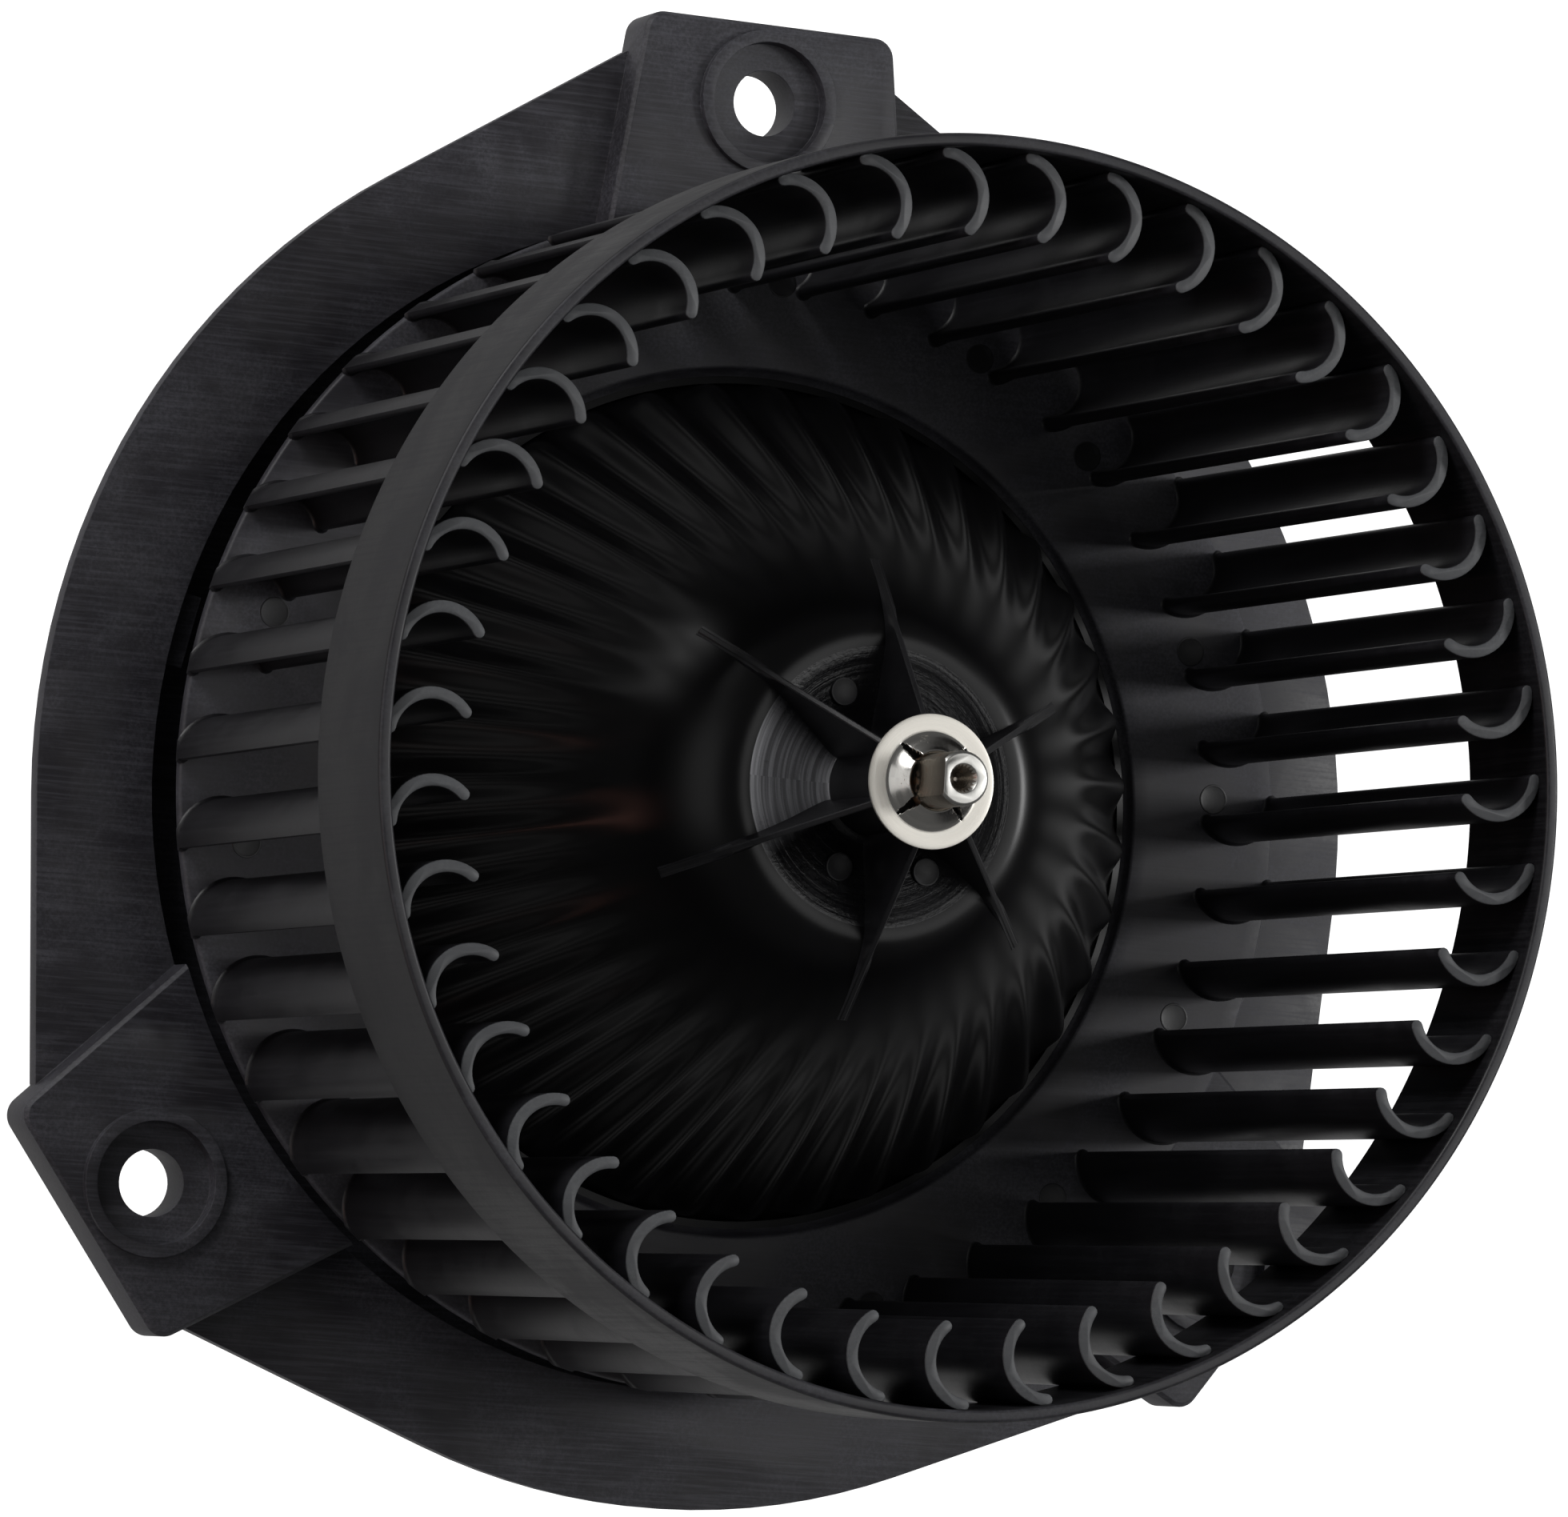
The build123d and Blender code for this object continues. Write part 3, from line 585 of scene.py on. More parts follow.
def moulded_plastic(name, base, bloom, bloom_amount=0.5, lines=0.3, lean=0.0, smooth=0.34, dull=0.5,
                    rub=0.5, dust=0.12, grain=2600.0, relief=0.12, specular=0.5):
    """Black moulded plastic with grain, polishing lines, rubbed edges and a little dust."""
    material, tree, shader = new_material(name, base, smooth, 0.0, specular)
    skin = place_group(tree, "skin", Base=(*base, 1.0), Bloom=(*bloom, 1.0), Bloom_Amount=bloom_amount,
                       Grain_Scale=grain, Line_Amount=lines, Line_Lean=lean, Roughness_Low=smooth,
                       Roughness_High=dull)
    edge = place_group(tree, "rub", Amount=rub)
    specks = place_group(tree, "dust", Amount=dust)
    worn = tuple(3.2 * c + 0.01 for c in bloom)
    tone = mix_colour(tree, edge.outputs["Mask"], skin.outputs["Color"], worn)
    tone = mix_colour(tree, specks.outputs["Mask"], tone, (0.16, 0.155, 0.145))
    link(tree, tone, shader.inputs["Base Color"])
    rough = plus(tree, skin.outputs["Roughness"],
                      times(tree, specks.outputs["Mask"], 0.3), True)
    link(tree, rough, shader.inputs["Roughness"])
    bump(tree, shader, skin.outputs["Height"], relief, 0.00006)
    return material


def turned_plastic(name, base, bloom):
    """Glossy plastic moulded on a turned insert, with fine rings and a painted highlight on the -X side of
    the dish.
    """
    material, tree, shader = new_material(name, base, 0.26)
    skin = place_group(tree, "skin", Base=(*base, 1.0), Bloom=(*bloom, 1.0), Bloom_Amount=0.3,
                       Grain_Scale=1500.0, Line_Amount=0.1, Roughness_Low=0.22, Roughness_High=0.36)
    rings = place_group(tree, "turned", Ring_Scale=1500.0, Along_Shaft=0.0)
    # Painted highlight: the dish's -X side, strongest from its lip outwards, turns pale grey in streaks that
    # follow the turning rings.
    reach, turn, _ = polar(tree, object_place(tree))
    facing = times(tree, math_node(tree, "COSINE", turn), -1.0)
    side = spread(tree, facing, 0.80, 1.0, 0.0, 1.0)
    rim = spread(tree, reach, 0.0146, 0.0152, 0.65, 1.0)
    highlight_streaks = spread(tree, rings.outputs["Lines"], 0.2, 0.9, 0.45, 1.0)
    painted_highlight = times(tree, times(tree, side, rim), highlight_streaks)
    tone = mix_colour(tree, painted_highlight, skin.outputs["Color"], (0.72, 0.72, 0.76))
    link(tree, tone, shader.inputs["Base Color"])
    link(tree, skin.outputs["Roughness"], shader.inputs["Roughness"])
    total = plus(tree, times(tree, rings.outputs["Height"], 1.4), skin.outputs["Height"])
    bump(tree, shader, total, 0.6, 0.00009)
    return material


def bright_metal(name, base, tarnish_colour, roughness=0.25, cover=0.2, rings=5200.0, along=0.5, relief=0.12,
                 rub=0.3, metallic=1.0):
    """Metal with turning lines, patches of tarnish and brighter edges."""
    material, tree, shader = new_material(name, base, roughness, metallic)
    lines = place_group(tree, "turned", Ring_Scale=rings, Along_Shaft=along)
    patch = place_group(tree, "tarnish", Cover=cover)
    edge = place_group(tree, "rub", Amount=rub)
    tone = mix_colour(tree, lines.outputs["Lines"], shade(base, 0.82), base)
    tone = mix_colour(tree, edge.outputs["Mask"], tone, shade(base, 1.25))
    tone = mix_colour(tree, patch.outputs["Mask"], tone, tarnish_colour)
    link(tree, tone, shader.inputs["Base Color"])
    rough = plus(tree, times(tree, lines.outputs["Lines"], 0.12),
                      times(tree, patch.outputs["Mask"], 0.45))
    link(tree, plus(tree, rough, roughness - 0.05, True), shader.inputs["Roughness"])
    clean = math_node(tree, "SUBTRACT", metallic, times(tree, patch.outputs["Mask"], 0.85 * metallic))
    link(tree, clean, shader.inputs["Metallic"])
    total = plus(tree, lines.outputs["Height"], patch.outputs["Height"])
    bump(tree, shader, total, relief, 0.00004)
    return material


def plain_stock(name, base, second, roughness, scale, specular=0.5, relief=0.2, detail=4.0):
    """Stock such as rubber, ferrite, carbon or phenolic card: two tones in a fine noise."""
    material, tree, shader = new_material(name, base, roughness, 0.0, specular)
    spot = object_place(tree)
    wide = spread(tree, noise(tree, spot, scale * 0.08, 4.0, 0.6), 0.35, 0.65)
    fine = noise(tree, spot, scale, detail, 0.65)
    share = times(tree, plus(tree, wide, spread(tree, fine, 0.35, 0.65)), 0.5, True)
    link(tree, mix_colour(tree, share, base, second), shader.inputs["Base Color"])
    rough = spread(tree, fine, 0.2, 0.8, roughness - 0.08, min(roughness + 0.1, 0.98))
    link(tree, rough, shader.inputs["Roughness"])
    bump(tree, shader, fine, relief, 0.00005)
    return material


def laminated_steel(name, base):
    """Stacked sheet steel: dark lines across the shaft between the sheets."""
    material, tree, shader = new_material(name, base, 0.4, 1.0)
    spot = object_place(tree)
    parts = tree.nodes.new("ShaderNodeSeparateXYZ")
    link(tree, spot, parts.inputs[0])
    wave = math_node(tree, "SINE", times(tree, parts.outputs[2], 2 * pi / 0.0007))
    gap = spread(tree, wave, 0.55, 0.95)
    tone = noise(tree, stretched(tree, spot, (300.0, 300.0, 1400.0)), 1.0, 3.0, 0.6)
    sheets = mix_colour(tree, tone, shade(base, 0.75), base)
    link(tree, mix_colour(tree, gap, sheets, (0.03, 0.03, 0.035)), shader.inputs["Base Color"])
    link(tree, spread(tree, tone, 0.2, 0.8, 0.3, 0.5), shader.inputs["Roughness"])
    bump(tree, shader, times(tree, gap, -1.0), 0.4, 0.00008)
    return material


def wound_copper(name, base, varnish):
    """Enamelled wire laid in turns across the armature."""
    material, tree, shader = new_material(name, base, 0.3, 0.6)
    spot = object_place(tree)
    radius, _, height = polar(tree, spot)
    slip = times(tree, noise(tree, spot, 160.0, 3.0, 0.5), 0.0009)
    place = plus(tree, plus(tree, radius, height), slip)
    wave = math_node(tree, "SINE", times(tree, place, 2 * pi / 0.0006))
    strand = spread(tree, wave, -0.9, 0.7)
    tone = spread(tree, noise(tree, spot, 900.0, 3.0, 0.6), 0.35, 0.65)
    wire = mix_colour(tree, tone, base, shade(base, 1.3))
    link(tree, mix_colour(tree, strand, varnish, wire), shader.inputs["Base Color"])
    link(tree, spread(tree, tone, 0.0, 1.0, 0.22, 0.42), shader.inputs["Roughness"])
    bump(tree, shader, strand, 0.6, 0.00015)
    return material


# Name, colour, tarnish colour, roughness and tarnish cover, then ring scale and lean.
METALS = {
    "zinc": ("zinc_steel", (0.60, 0.60, 0.57), (0.35, 0.34, 0.3), 0.34, 0.25, 3000.0),
    "yoke": ("yoke_zinc", (0.56, 0.565, 0.56), (0.30, 0.29, 0.26), 0.32, 0.3, 1500.0, 2.0),
    "spring": ("spring_steel", (0.45, 0.45, 0.46), (0.2, 0.18, 0.16), 0.28, 0.15, 6000.0),
    "commutator": ("commutator_copper", (0.76, 0.42, 0.26), (0.12, 0.07, 0.05), 0.22, 0.3, 1500.0, 6.0),
    "bronze": ("bush_bronze", (0.52, 0.37, 0.19), (0.16, 0.1, 0.05), 0.38, 0.35, 2400.0),
    "holder": ("holder_brass", (0.72, 0.56, 0.26), (0.35, 0.24, 0.1), 0.3, 0.25, 900.0),
    "tin": ("terminal_tin", (0.74, 0.72, 0.68), (0.4, 0.38, 0.34), 0.26, 0.2, 1200.0),
}
# Name, two tones, roughness and grain scale.
STOCKS = {
    "spacer": ("spacer_plastic", (0.66, 0.62, 0.5), (0.58, 0.54, 0.42), 0.42, 1800.0),
    "rubber": ("isolator_rubber", (0.018, 0.018, 0.018), (0.035, 0.034, 0.033), 0.75, 1400.0),
    "ferrite": ("magnet_ferrite", (0.05, 0.05, 0.053), (0.09, 0.088, 0.085), 0.5, 2200.0),
    "card": ("card_phenolic", (0.30, 0.14, 0.06), (0.38, 0.2, 0.1), 0.45, 1600.0),
    "carbon": ("brush_carbon", (0.04, 0.04, 0.043), (0.075, 0.075, 0.078), 0.42, 2600.0),
}
MATERIALS = {}


def materials():
    """Builds every material once, from the finish settings."""
    if MATERIALS:
        return MATERIALS
    finish = bpy.context.scene.blower_finish
    black, bloom = tuple(finish.plastic), tuple(finish.plastic_bloom)
    nickel, steel, rust = tuple(finish.nickel), tuple(finish.steel), tuple(finish.rust)
    # Key, colours, bloom amount, lines, lean, roughness from and to, rub and dust.
    for key, base, film, *look in (
            ("blade", black, bloom, 0.35, 0.3, 1.0, 0.36, 0.5, 0.25, 0.1),
            # Painted light: the blades' front ends get a paler copy of the black plastic, standing in for the
            # light on these up-facing faces.
            ("blade_end", (0.085, 0.088, 0.094), (0.13, 0.135, 0.142), 0.8, 0.3, 0.0, 0.45, 0.6, 0.2, 0.2),
            # Painted light: the ring's front face gets a lighter copy of the black plastic.
            ("ring_face", shade(black, 2.2), shade(bloom, 2.0), 0.8, 0.3, 0.0, 0.40, 0.56, 0.2, 0.15),
            # Painted light: the back plate is a lighter copy of the black plastic, in colour and bloom.
            ("plate", shade(black, 3.4), shade(bloom, 3.6), 0.9, 0.3, 0.0, 0.46, 0.64, 0.2, 0.25),
            ("mark", shade(black, 0.8), shade(bloom, 0.9), 0.5, 0.2, 0.0, 0.34, 0.50, 0.2, 0.1),
            ("hub", shade(black, 0.75), bloom, 0.25, 0.2, 1.0, 0.32, 0.46, 0.25, 0.03),
            # Painted light: the flange is a lighter copy of the black plastic, in colour and bloom.
            ("flange", shade(black, 3.0), shade(bloom, 3.2), 0.8, 0.75, 0.0, 0.40, 0.58, 0.04, 0.12),
            ("cover", black, bloom, 0.6, 0.35, 1.0, 0.40, 0.6, 0.04, 0.12),
            ("connector", shade(black, 1.3), bloom, 0.4, 0.15, 0.0, 0.32, 0.44, 0.06, 0.06)):
        MATERIALS[key] = moulded_plastic(key + "_plastic", base, film, *look)
    MATERIALS["ring"] = moulded_plastic(
        "ring_plastic", shade(black, 0.8), shade(bloom, 0.8), 0.75, 0.7, 1.0, 0.42, 0.60, 0.5, 0.1,
        specular=0.36)
    # Painted shade: the bell is a darker copy of the black plastic, with the plain black as its bloom.
    MATERIALS["bell"] = moulded_plastic(
        "bell_plastic", shade(black, 0.25), black, 0.3, 0.04, 0.0, 0.285, 0.315, 0.02, 0.0, 3000.0,
        0.02, 0.32)
    MATERIALS["dish"] = turned_plastic("dish_plastic", shade(black, 0.7), bloom)
    MATERIALS["nut"] = bright_metal(
        "nut_nickel", shade(nickel, 1.15), (0.42, 0.33, 0.2), 0.40, 0.10, 2600.0, 0.4, 0.04, 0.05, 0.7)
    MATERIALS["nut_cone"] = bright_metal(
        "nut_polished", (0.8, 0.78, 0.74), (0.3, 0.24, 0.16), 0.2, 0.18, 1600.0, 0.4, 0.08, 0.1)
    MATERIALS["shaft"] = bright_metal(
        "shaft_steel", shade(steel, 0.62), rust, 0.3, 0.42, 4200.0, 3.0, 0.25, 0.2)
    MATERIALS["shaft_end"] = bright_metal(
        "shaft_end_steel", (0.78, 0.77, 0.73), rust, 0.34, 0.2, 3000.0, 0.0, 0.04, 0.1)
    MATERIALS["core"] = laminated_steel("core_laminations", (0.38, 0.38, 0.39))
    MATERIALS["winding"] = wound_copper("winding_copper", (0.62, 0.26, 0.10), (0.10, 0.03, 0.012))
    for key, values in METALS.items():
        MATERIALS[key] = bright_metal(*values)
    for key, values in STOCKS.items():
        MATERIALS[key] = plain_stock(*values)
    return MATERIALS


# ---------------------------------------------------------------- wheel


def ring_profile(sizes):
    """Section of the front ring, with rounded front and rear edges."""
    outer, inner = RING_RADIUS, RING_RADIUS - sizes.ring_wall
    low, high, edge = RING_LOW.z, RING_HIGH.z, sizes.ring_round
    lip = edge * 0.6
    profile = [(outer, low + lip + (high - low - edge - lip) * k / 6) for k in range(7)]
    profile += arc_points((outer - edge, high - edge), edge, 0, 90, 5)[1:]
    profile += arc_points((inner + edge, high - edge), edge, 90, 180, 5)
    profile += [(inner, high - edge - (high - low - edge - lip) * k / 6) for k in range(1, 7)]
    profile += arc_points((inner + lip, low + lip), lip, 180, 270, 4)[1:]
    profile += arc_points((outer - lip, low + lip), lip, 270, 360, 4)[:-1]
    return profile


def blade_outline(half, sizes):
    """Section of one blade at a half thickness, as points round its curved centreline."""
    arc, start, sweep, steps = sizes.blade_radius, BLADE_ARC_START, BLADE_ARC_SWEEP, 18
    centre = (BLADE_TIP_RADIUS + sqrt(arc ** 2 - BLADE_TIP_DROP ** 2), BLADE_TIP_DROP)
    limit = RING_RADIUS - sizes.ring_wall + 0.02
    outline = []
    for k in range(steps + 1):
        angle = radians(start + sweep * k / steps)
        outline.append((centre[0] + (arc + half) * cos(angle), centre[1] + (arc + half) * sin(angle)))
    for end, first in ((start + sweep, 0), (start, 180)):
        angle = radians(end)
        middle = (centre[0] + arc * cos(angle), centre[1] + arc * sin(angle))
        for k in range(1, 6):
            turn = angle + radians(first + 30 * k)
            outline.append((middle[0] + half * cos(turn), middle[1] + half * sin(turn)))
        if end != start:
            for k in range(steps, -1, -1):
                angle = radians(start + sweep * k / steps)
                outline.append((centre[0] + (arc - half) * cos(angle), centre[1] + (arc - half) * sin(angle)))
    clipped = []
    for x, y in outline:
        reach = hypot(x, y)
        if reach > limit:
            x, y = x * limit / reach, y * limit / reach
        clipped.append((x, y))
    return clipped


def bell_height(radius):
    """Height of the smooth bell and of its flutes' crests at a radius."""
    share = min(max((radius - BELL_TOP_RADIUS) / (BELL_FOOT_RADIUS - BELL_TOP_RADIUS), 0.0), 1.0)
    ease = 0.018
    eased = (sqrt(share * share + ease * ease) - ease) / (sqrt(1 + ease * ease) - ease)
    return BELL_HIGH.z - (BELL_HIGH.z - PLATE_FACE) * eased ** 1.46


def smooth_step(value, low, high):
    """A smooth rise from 0 to 1 between two numbers."""
    share = min(max((value - low) / (high - low), 0.0), 1.0)
    return share * share * (3 - 2 * share)


def bell_profile(sizes):
    """Points down the bell's outside, from the hub over the dish rim to the foot."""
    rim = BELL_HIGH.z
    floor = rim - sizes.dish_depth
    edge, lip = DISH_EDGE_RADIUS, DISH_LIP
    profile = []
    for radius in (5.4, 5.6, 5.8, 6.1, 6.5, 7.0):
        fillet = 0.8 * max(0.0, 1 - (radius - 5.4) / 1.3) ** 2
        profile.append((radius, floor + fillet))
    for k in range(1, 13):
        share = k / 12
        profile.append((7.0 + (edge - 7.0) * share, floor + (sizes.dish_depth - lip) * share ** 1.12))
    for k in range(1, 11):
        share = k / 10
        profile.append((edge + (BELL_TOP_RADIUS - edge) * share, rim - lip * (1 - share) ** 2))
    rows = 64
    for k in range(1, rows + 1):
        radius = BELL_TOP_RADIUS + (BELL_FOOT_RADIUS - BELL_TOP_RADIUS) * k / rows
        profile.append((radius, bell_height(radius)))
    return profile


class BLOWER_OT_ring(bpy.types.Operator):
    """Turns the wheel's front ring with rounded edges"""

    bl_idname = "blower.ring"
    bl_label = "Front ring"

    def execute(self, context):
        sizes = context.scene.blower_wheel
        points, faces = lathe(ring_profile(sizes), 344)
        rim = wheel_piece("wheel_rim", points, faces, "ring", "wheel_front_ring")
        # The ring's front face takes the lighter ring_face plastic: painted light.
        second_finish(rim, materials()["ring_face"], lambda centre, normal: centre.z > RING_HIGH.z - 0.2)
        return {"FINISHED"}


class BLOWER_OT_blades(bpy.types.Operator):
    """Builds the forward-curved blades with rounded tips and eased front ends"""

    bl_idname = "blower.blades"
    bl_label = "Blades"

    def execute(self, context):
        sizes = context.scene.blower_wheel
        half = sizes.blade_thickness / 2
        low, high = PLATE_FACE, BLADES_HIGH.z
        layers = [(low - 0.3, half + 0.35), (low, half + 0.35), (low + 0.12, half + 0.16),
                  (low + 0.4, half + 0.02), (low + 1.0, half), (low + 25.0, half), (high - 19.0, half),
                  (high - 0.28, half), (high - 0.10, half - 0.06), (high, half - 0.24)]
        points, faces = prism(lambda value: blade_outline(value, sizes), layers)
        angles = [BLADE_PHASE + PITCH * k for k in range(BLADE_COUNT)]
        points, faces = repeat_round(points, faces, angles)
        vanes = wheel_piece("wheel_vanes", points, faces, "blade", "wheel_blades", 32)
        # The blades' front ends take the paler blade_end plastic: painted light.
        second_finish(vanes, materials()["blade_end"], lambda centre, normal: centre.z > high - 0.3)
        return {"FINISHED"}


class BLOWER_OT_plate(bpy.types.Operator):
    """Turns the wheel's back plate with its groove and its ejector marks"""

    bl_idname = "blower.plate"
    bl_label = "Back plate"

    def execute(self, context):
        low, top, outer = PLATE_LOW.z, PLATE_FACE, PLATE_HIGH.x
        foot = BELL_FOOT_RADIUS
        profile = [(foot, top - 0.95), (foot + 0.25, top - 0.78), (foot + 0.55, top - 0.62)]
        profile += [(foot + 0.8, top - 0.25), (foot + 1.0, top - 0.06), (foot + 1.25, top)]
        profile += [(foot + 1.25 + (outer - foot - 1.7) * k / 10, top) for k in range(1, 11)]
        profile += arc_points((outer - 0.45, top - 0.45), 0.45, 90, 0, 4)[1:]
        profile += [(outer, low + 0.3), (outer - 0.1, low + 0.08), (outer - 0.3, low)]
        profile += [(60.0, low), (foot, low)]
        points, faces = lathe(profile, 344)
        wheel_piece("wheel_disc", points, faces, "plate", "wheel_back_plate")
        mark = [(0.0, 0.03), (1.5, 0.03), (1.6, 0.05), (1.7, 0.07), (1.8, 0.05), (1.85, -0.02)]
        every_point, every_face = [], []
        for gap in DISC_MARK_GAPS:
            angle = DISC_MARK_ANGLE - PITCH * gap
            x, y = DISC_MARK_RADIUS * cos(angle), DISC_MARK_RADIUS * sin(angle)
            self.add_mark(every_point, every_face, mark, x, y, top)
        wheel_piece("wheel_disc_marks", every_point, every_face, "mark")
        return {"FINISHED"}

    @staticmethod
    def add_mark(every_point, every_face, mark, x, y, z):
        """A small raised rim left by an ejector pin."""
        points, faces = lathe(mark[1:], MARK_STEPS, closed=False)
        base = len(every_point)
        every_point += [(px + x, py + y, pz + z) for px, py, pz in points]
        every_face += [tuple(base + corner for corner in face) for face in faces]
        size = len(mark) - 1
        every_face.append(tuple(base + k * size for k in range(MARK_STEPS)))
        every_face.append(tuple(base + k * size + size - 1 for k in range(MARK_STEPS - 1, -1, -1)))


class BLOWER_OT_bell(bpy.types.Operator):
    """Shapes the fluted bell, its dish and the ejector marks in the dish"""

    bl_idname = "blower.bell"
    bl_label = "Bell"

    def execute(self, context):
        sizes = context.scene.blower_wheel
        outside = bell_profile(sizes)
        foot = BELL_FOOT_RADIUS
        pitch = 2 * pi / sizes.flute_count

        def flute(radius, angle):
            """Depth below the crest surface at a place on the bell; all round it is even at the foot."""
            share = abs(((angle - FLUTE_PHASE) / pitch + 0.5) % 1.0 - 0.5) * 2
            trough = ((1 - cos(pi * share)) / 2) ** 0.9
            depth = sizes.flute_depth * smooth_step(radius, sizes.flute_start, FLUTE_FULL_RADIUS)
            late = min(max((radius - foot + 2.1) / 2.1, 0.0), 1.0)
            level = 1 - sqrt(max(0.0, 1 - late * late))
            return depth * trough * (1 - level) + sizes.flute_depth * level

        def wave(number, radius, height, angle):
            if number < len(outside) and radius > sizes.flute_start - 1:
                step = 0.05
                slope = (bell_height(radius + step) - bell_height(radius - step)) / (2 * step)
                length = sqrt(1 + slope * slope)
                sink = flute(radius, angle)
                return radius + sink * slope / length, height - sink / length
            return radius, height

        under = [(r - 1.75, z - 1.1) for r, z in reversed(outside[20:-1:4])]
        inner_foot = foot - 3.0
        closing = [(foot - 0.9, PLATE_FACE - 0.9), (foot, PLATE_FACE - 1.0), (foot, BELL_LOW.z),
                   (inner_foot, BELL_LOW.z)]
        under = [(min(r, inner_foot), z) for r, z in under if z > BELL_LOW.z + 0.5]
        lid = [(11.0, BELL_HIGH.z - sizes.dish_depth - 1.7), (5.4, BELL_HIGH.z - sizes.dish_depth - 1.7)]
        points, faces = lathe(outside + closing + under + lid, sizes.flute_count * 16, True, wave)
        bell = wheel_piece("wheel_fluted_bell", points, faces, "bell", "wheel_bell", 50)
        second_finish(bell, materials()["dish"], lambda centre, normal: (
            hypot(centre.x, centre.y) < 16.4 and centre.z > BELL_HIGH.z - sizes.dish_depth - 0.3))
        mark = [(0.0, 0.02), (1.35, 0.02), (1.45, 0.05), (1.55, 0.06), (1.65, 0.03), (1.7, -0.3)]
        every_point, every_face = [], []
        floor = BELL_HIGH.z - sizes.dish_depth
        for x, y in DISH_MARKS:
            rise = (sizes.dish_depth - DISH_LIP) * ((hypot(x, y) - 7.0 + 1.2) / 7.5)
            BLOWER_OT_plate.add_mark(every_point, every_face, mark, x, y, floor + rise + 0.1)
        wheel_piece("bell_dish_marks", every_point, every_face, "mark")
        return {"FINISHED"}


class BLOWER_OT_hub(bpy.types.Operator):
    """Builds the hub boss and its six tapering fins"""

    bl_idname = "blower.hub"
    bl_label = "Hub and fins"

    def execute(self, context):
        sizes = context.scene.blower_wheel
        floor = BELL_HIGH.z - sizes.dish_depth
        bore = 3.2
        top = HUB_HIGH.z
        profile = [(bore, HUB_LOW.z), (HUB_RADIUS, HUB_LOW.z), (HUB_RADIUS, floor - 1.0),
                   (HUB_RADIUS, floor + 0.5), (5.65, floor + 3.0), (5.45, top - 0.6), (5.4, top - 0.25),
                   (5.2, top - 0.05), (5.0, top), (bore, top)]
        points, faces = lathe(profile, 96)
        fin_points, fin_faces = self.fin(sizes, floor, top)
        lines = [radians(angle) for angle in FIN_ANGLES]
        more_points, more_faces = repeat_round(fin_points, fin_faces, lines)
        base = len(points)
        points += more_points
        faces += [tuple(base + corner for corner in face) for face in more_faces]
        wheel_piece("wheel_hub_boss", points, faces, "hub", "wheel_hub", 30)
        return {"FINISHED"}

    @staticmethod
    def fin(sizes, floor, top):
        """One fin along +X: thin at its crest, thicker at its foot, with a rounded crest."""
        reach, root = FIN_REACH, 5.0
        crest_half, foot_half = sizes.fin_thickness * 0.36, sizes.fin_thickness * 0.62
        rows = 22
        points, faces = [], []
        for k in range(rows + 1):
            x = root + (reach - root) * k / rows
            share = (x - HUB_RADIUS) / (reach - HUB_RADIUS)
            crest = top - 1.0 - (top - 1.0 - bell_height(reach) - 0.25) * share
            if x > BELL_TOP_RADIUS:
                base = bell_height(x) - 0.7
            else:
                base = floor - 0.5 + (1.3 * smooth_step(x, 12.0, 16.6))
            crest = max(crest, base + 0.2)
            section = [(-foot_half * 1.5, base), (-foot_half, min(base + 1.3, crest - 0.1)),
                       (-crest_half, crest - 0.12), (-crest_half * 0.6, crest),
                       (crest_half * 0.6, crest), (crest_half, crest - 0.12),
                       (foot_half, min(base + 1.3, crest - 0.1)), (foot_half * 1.5, base)]
            points += [(x, y, z) for y, z in section]
        size = 8
        for k in range(rows):
            for j in range(size):
                after = (j + 1) % size
                faces.append((k * size + j, (k + 1) * size + j, (k + 1) * size + after, k * size + after))
        faces.append(tuple(range(size)))
        faces.append(tuple(rows * size + j for j in range(size - 1, -1, -1)))
        return points, faces


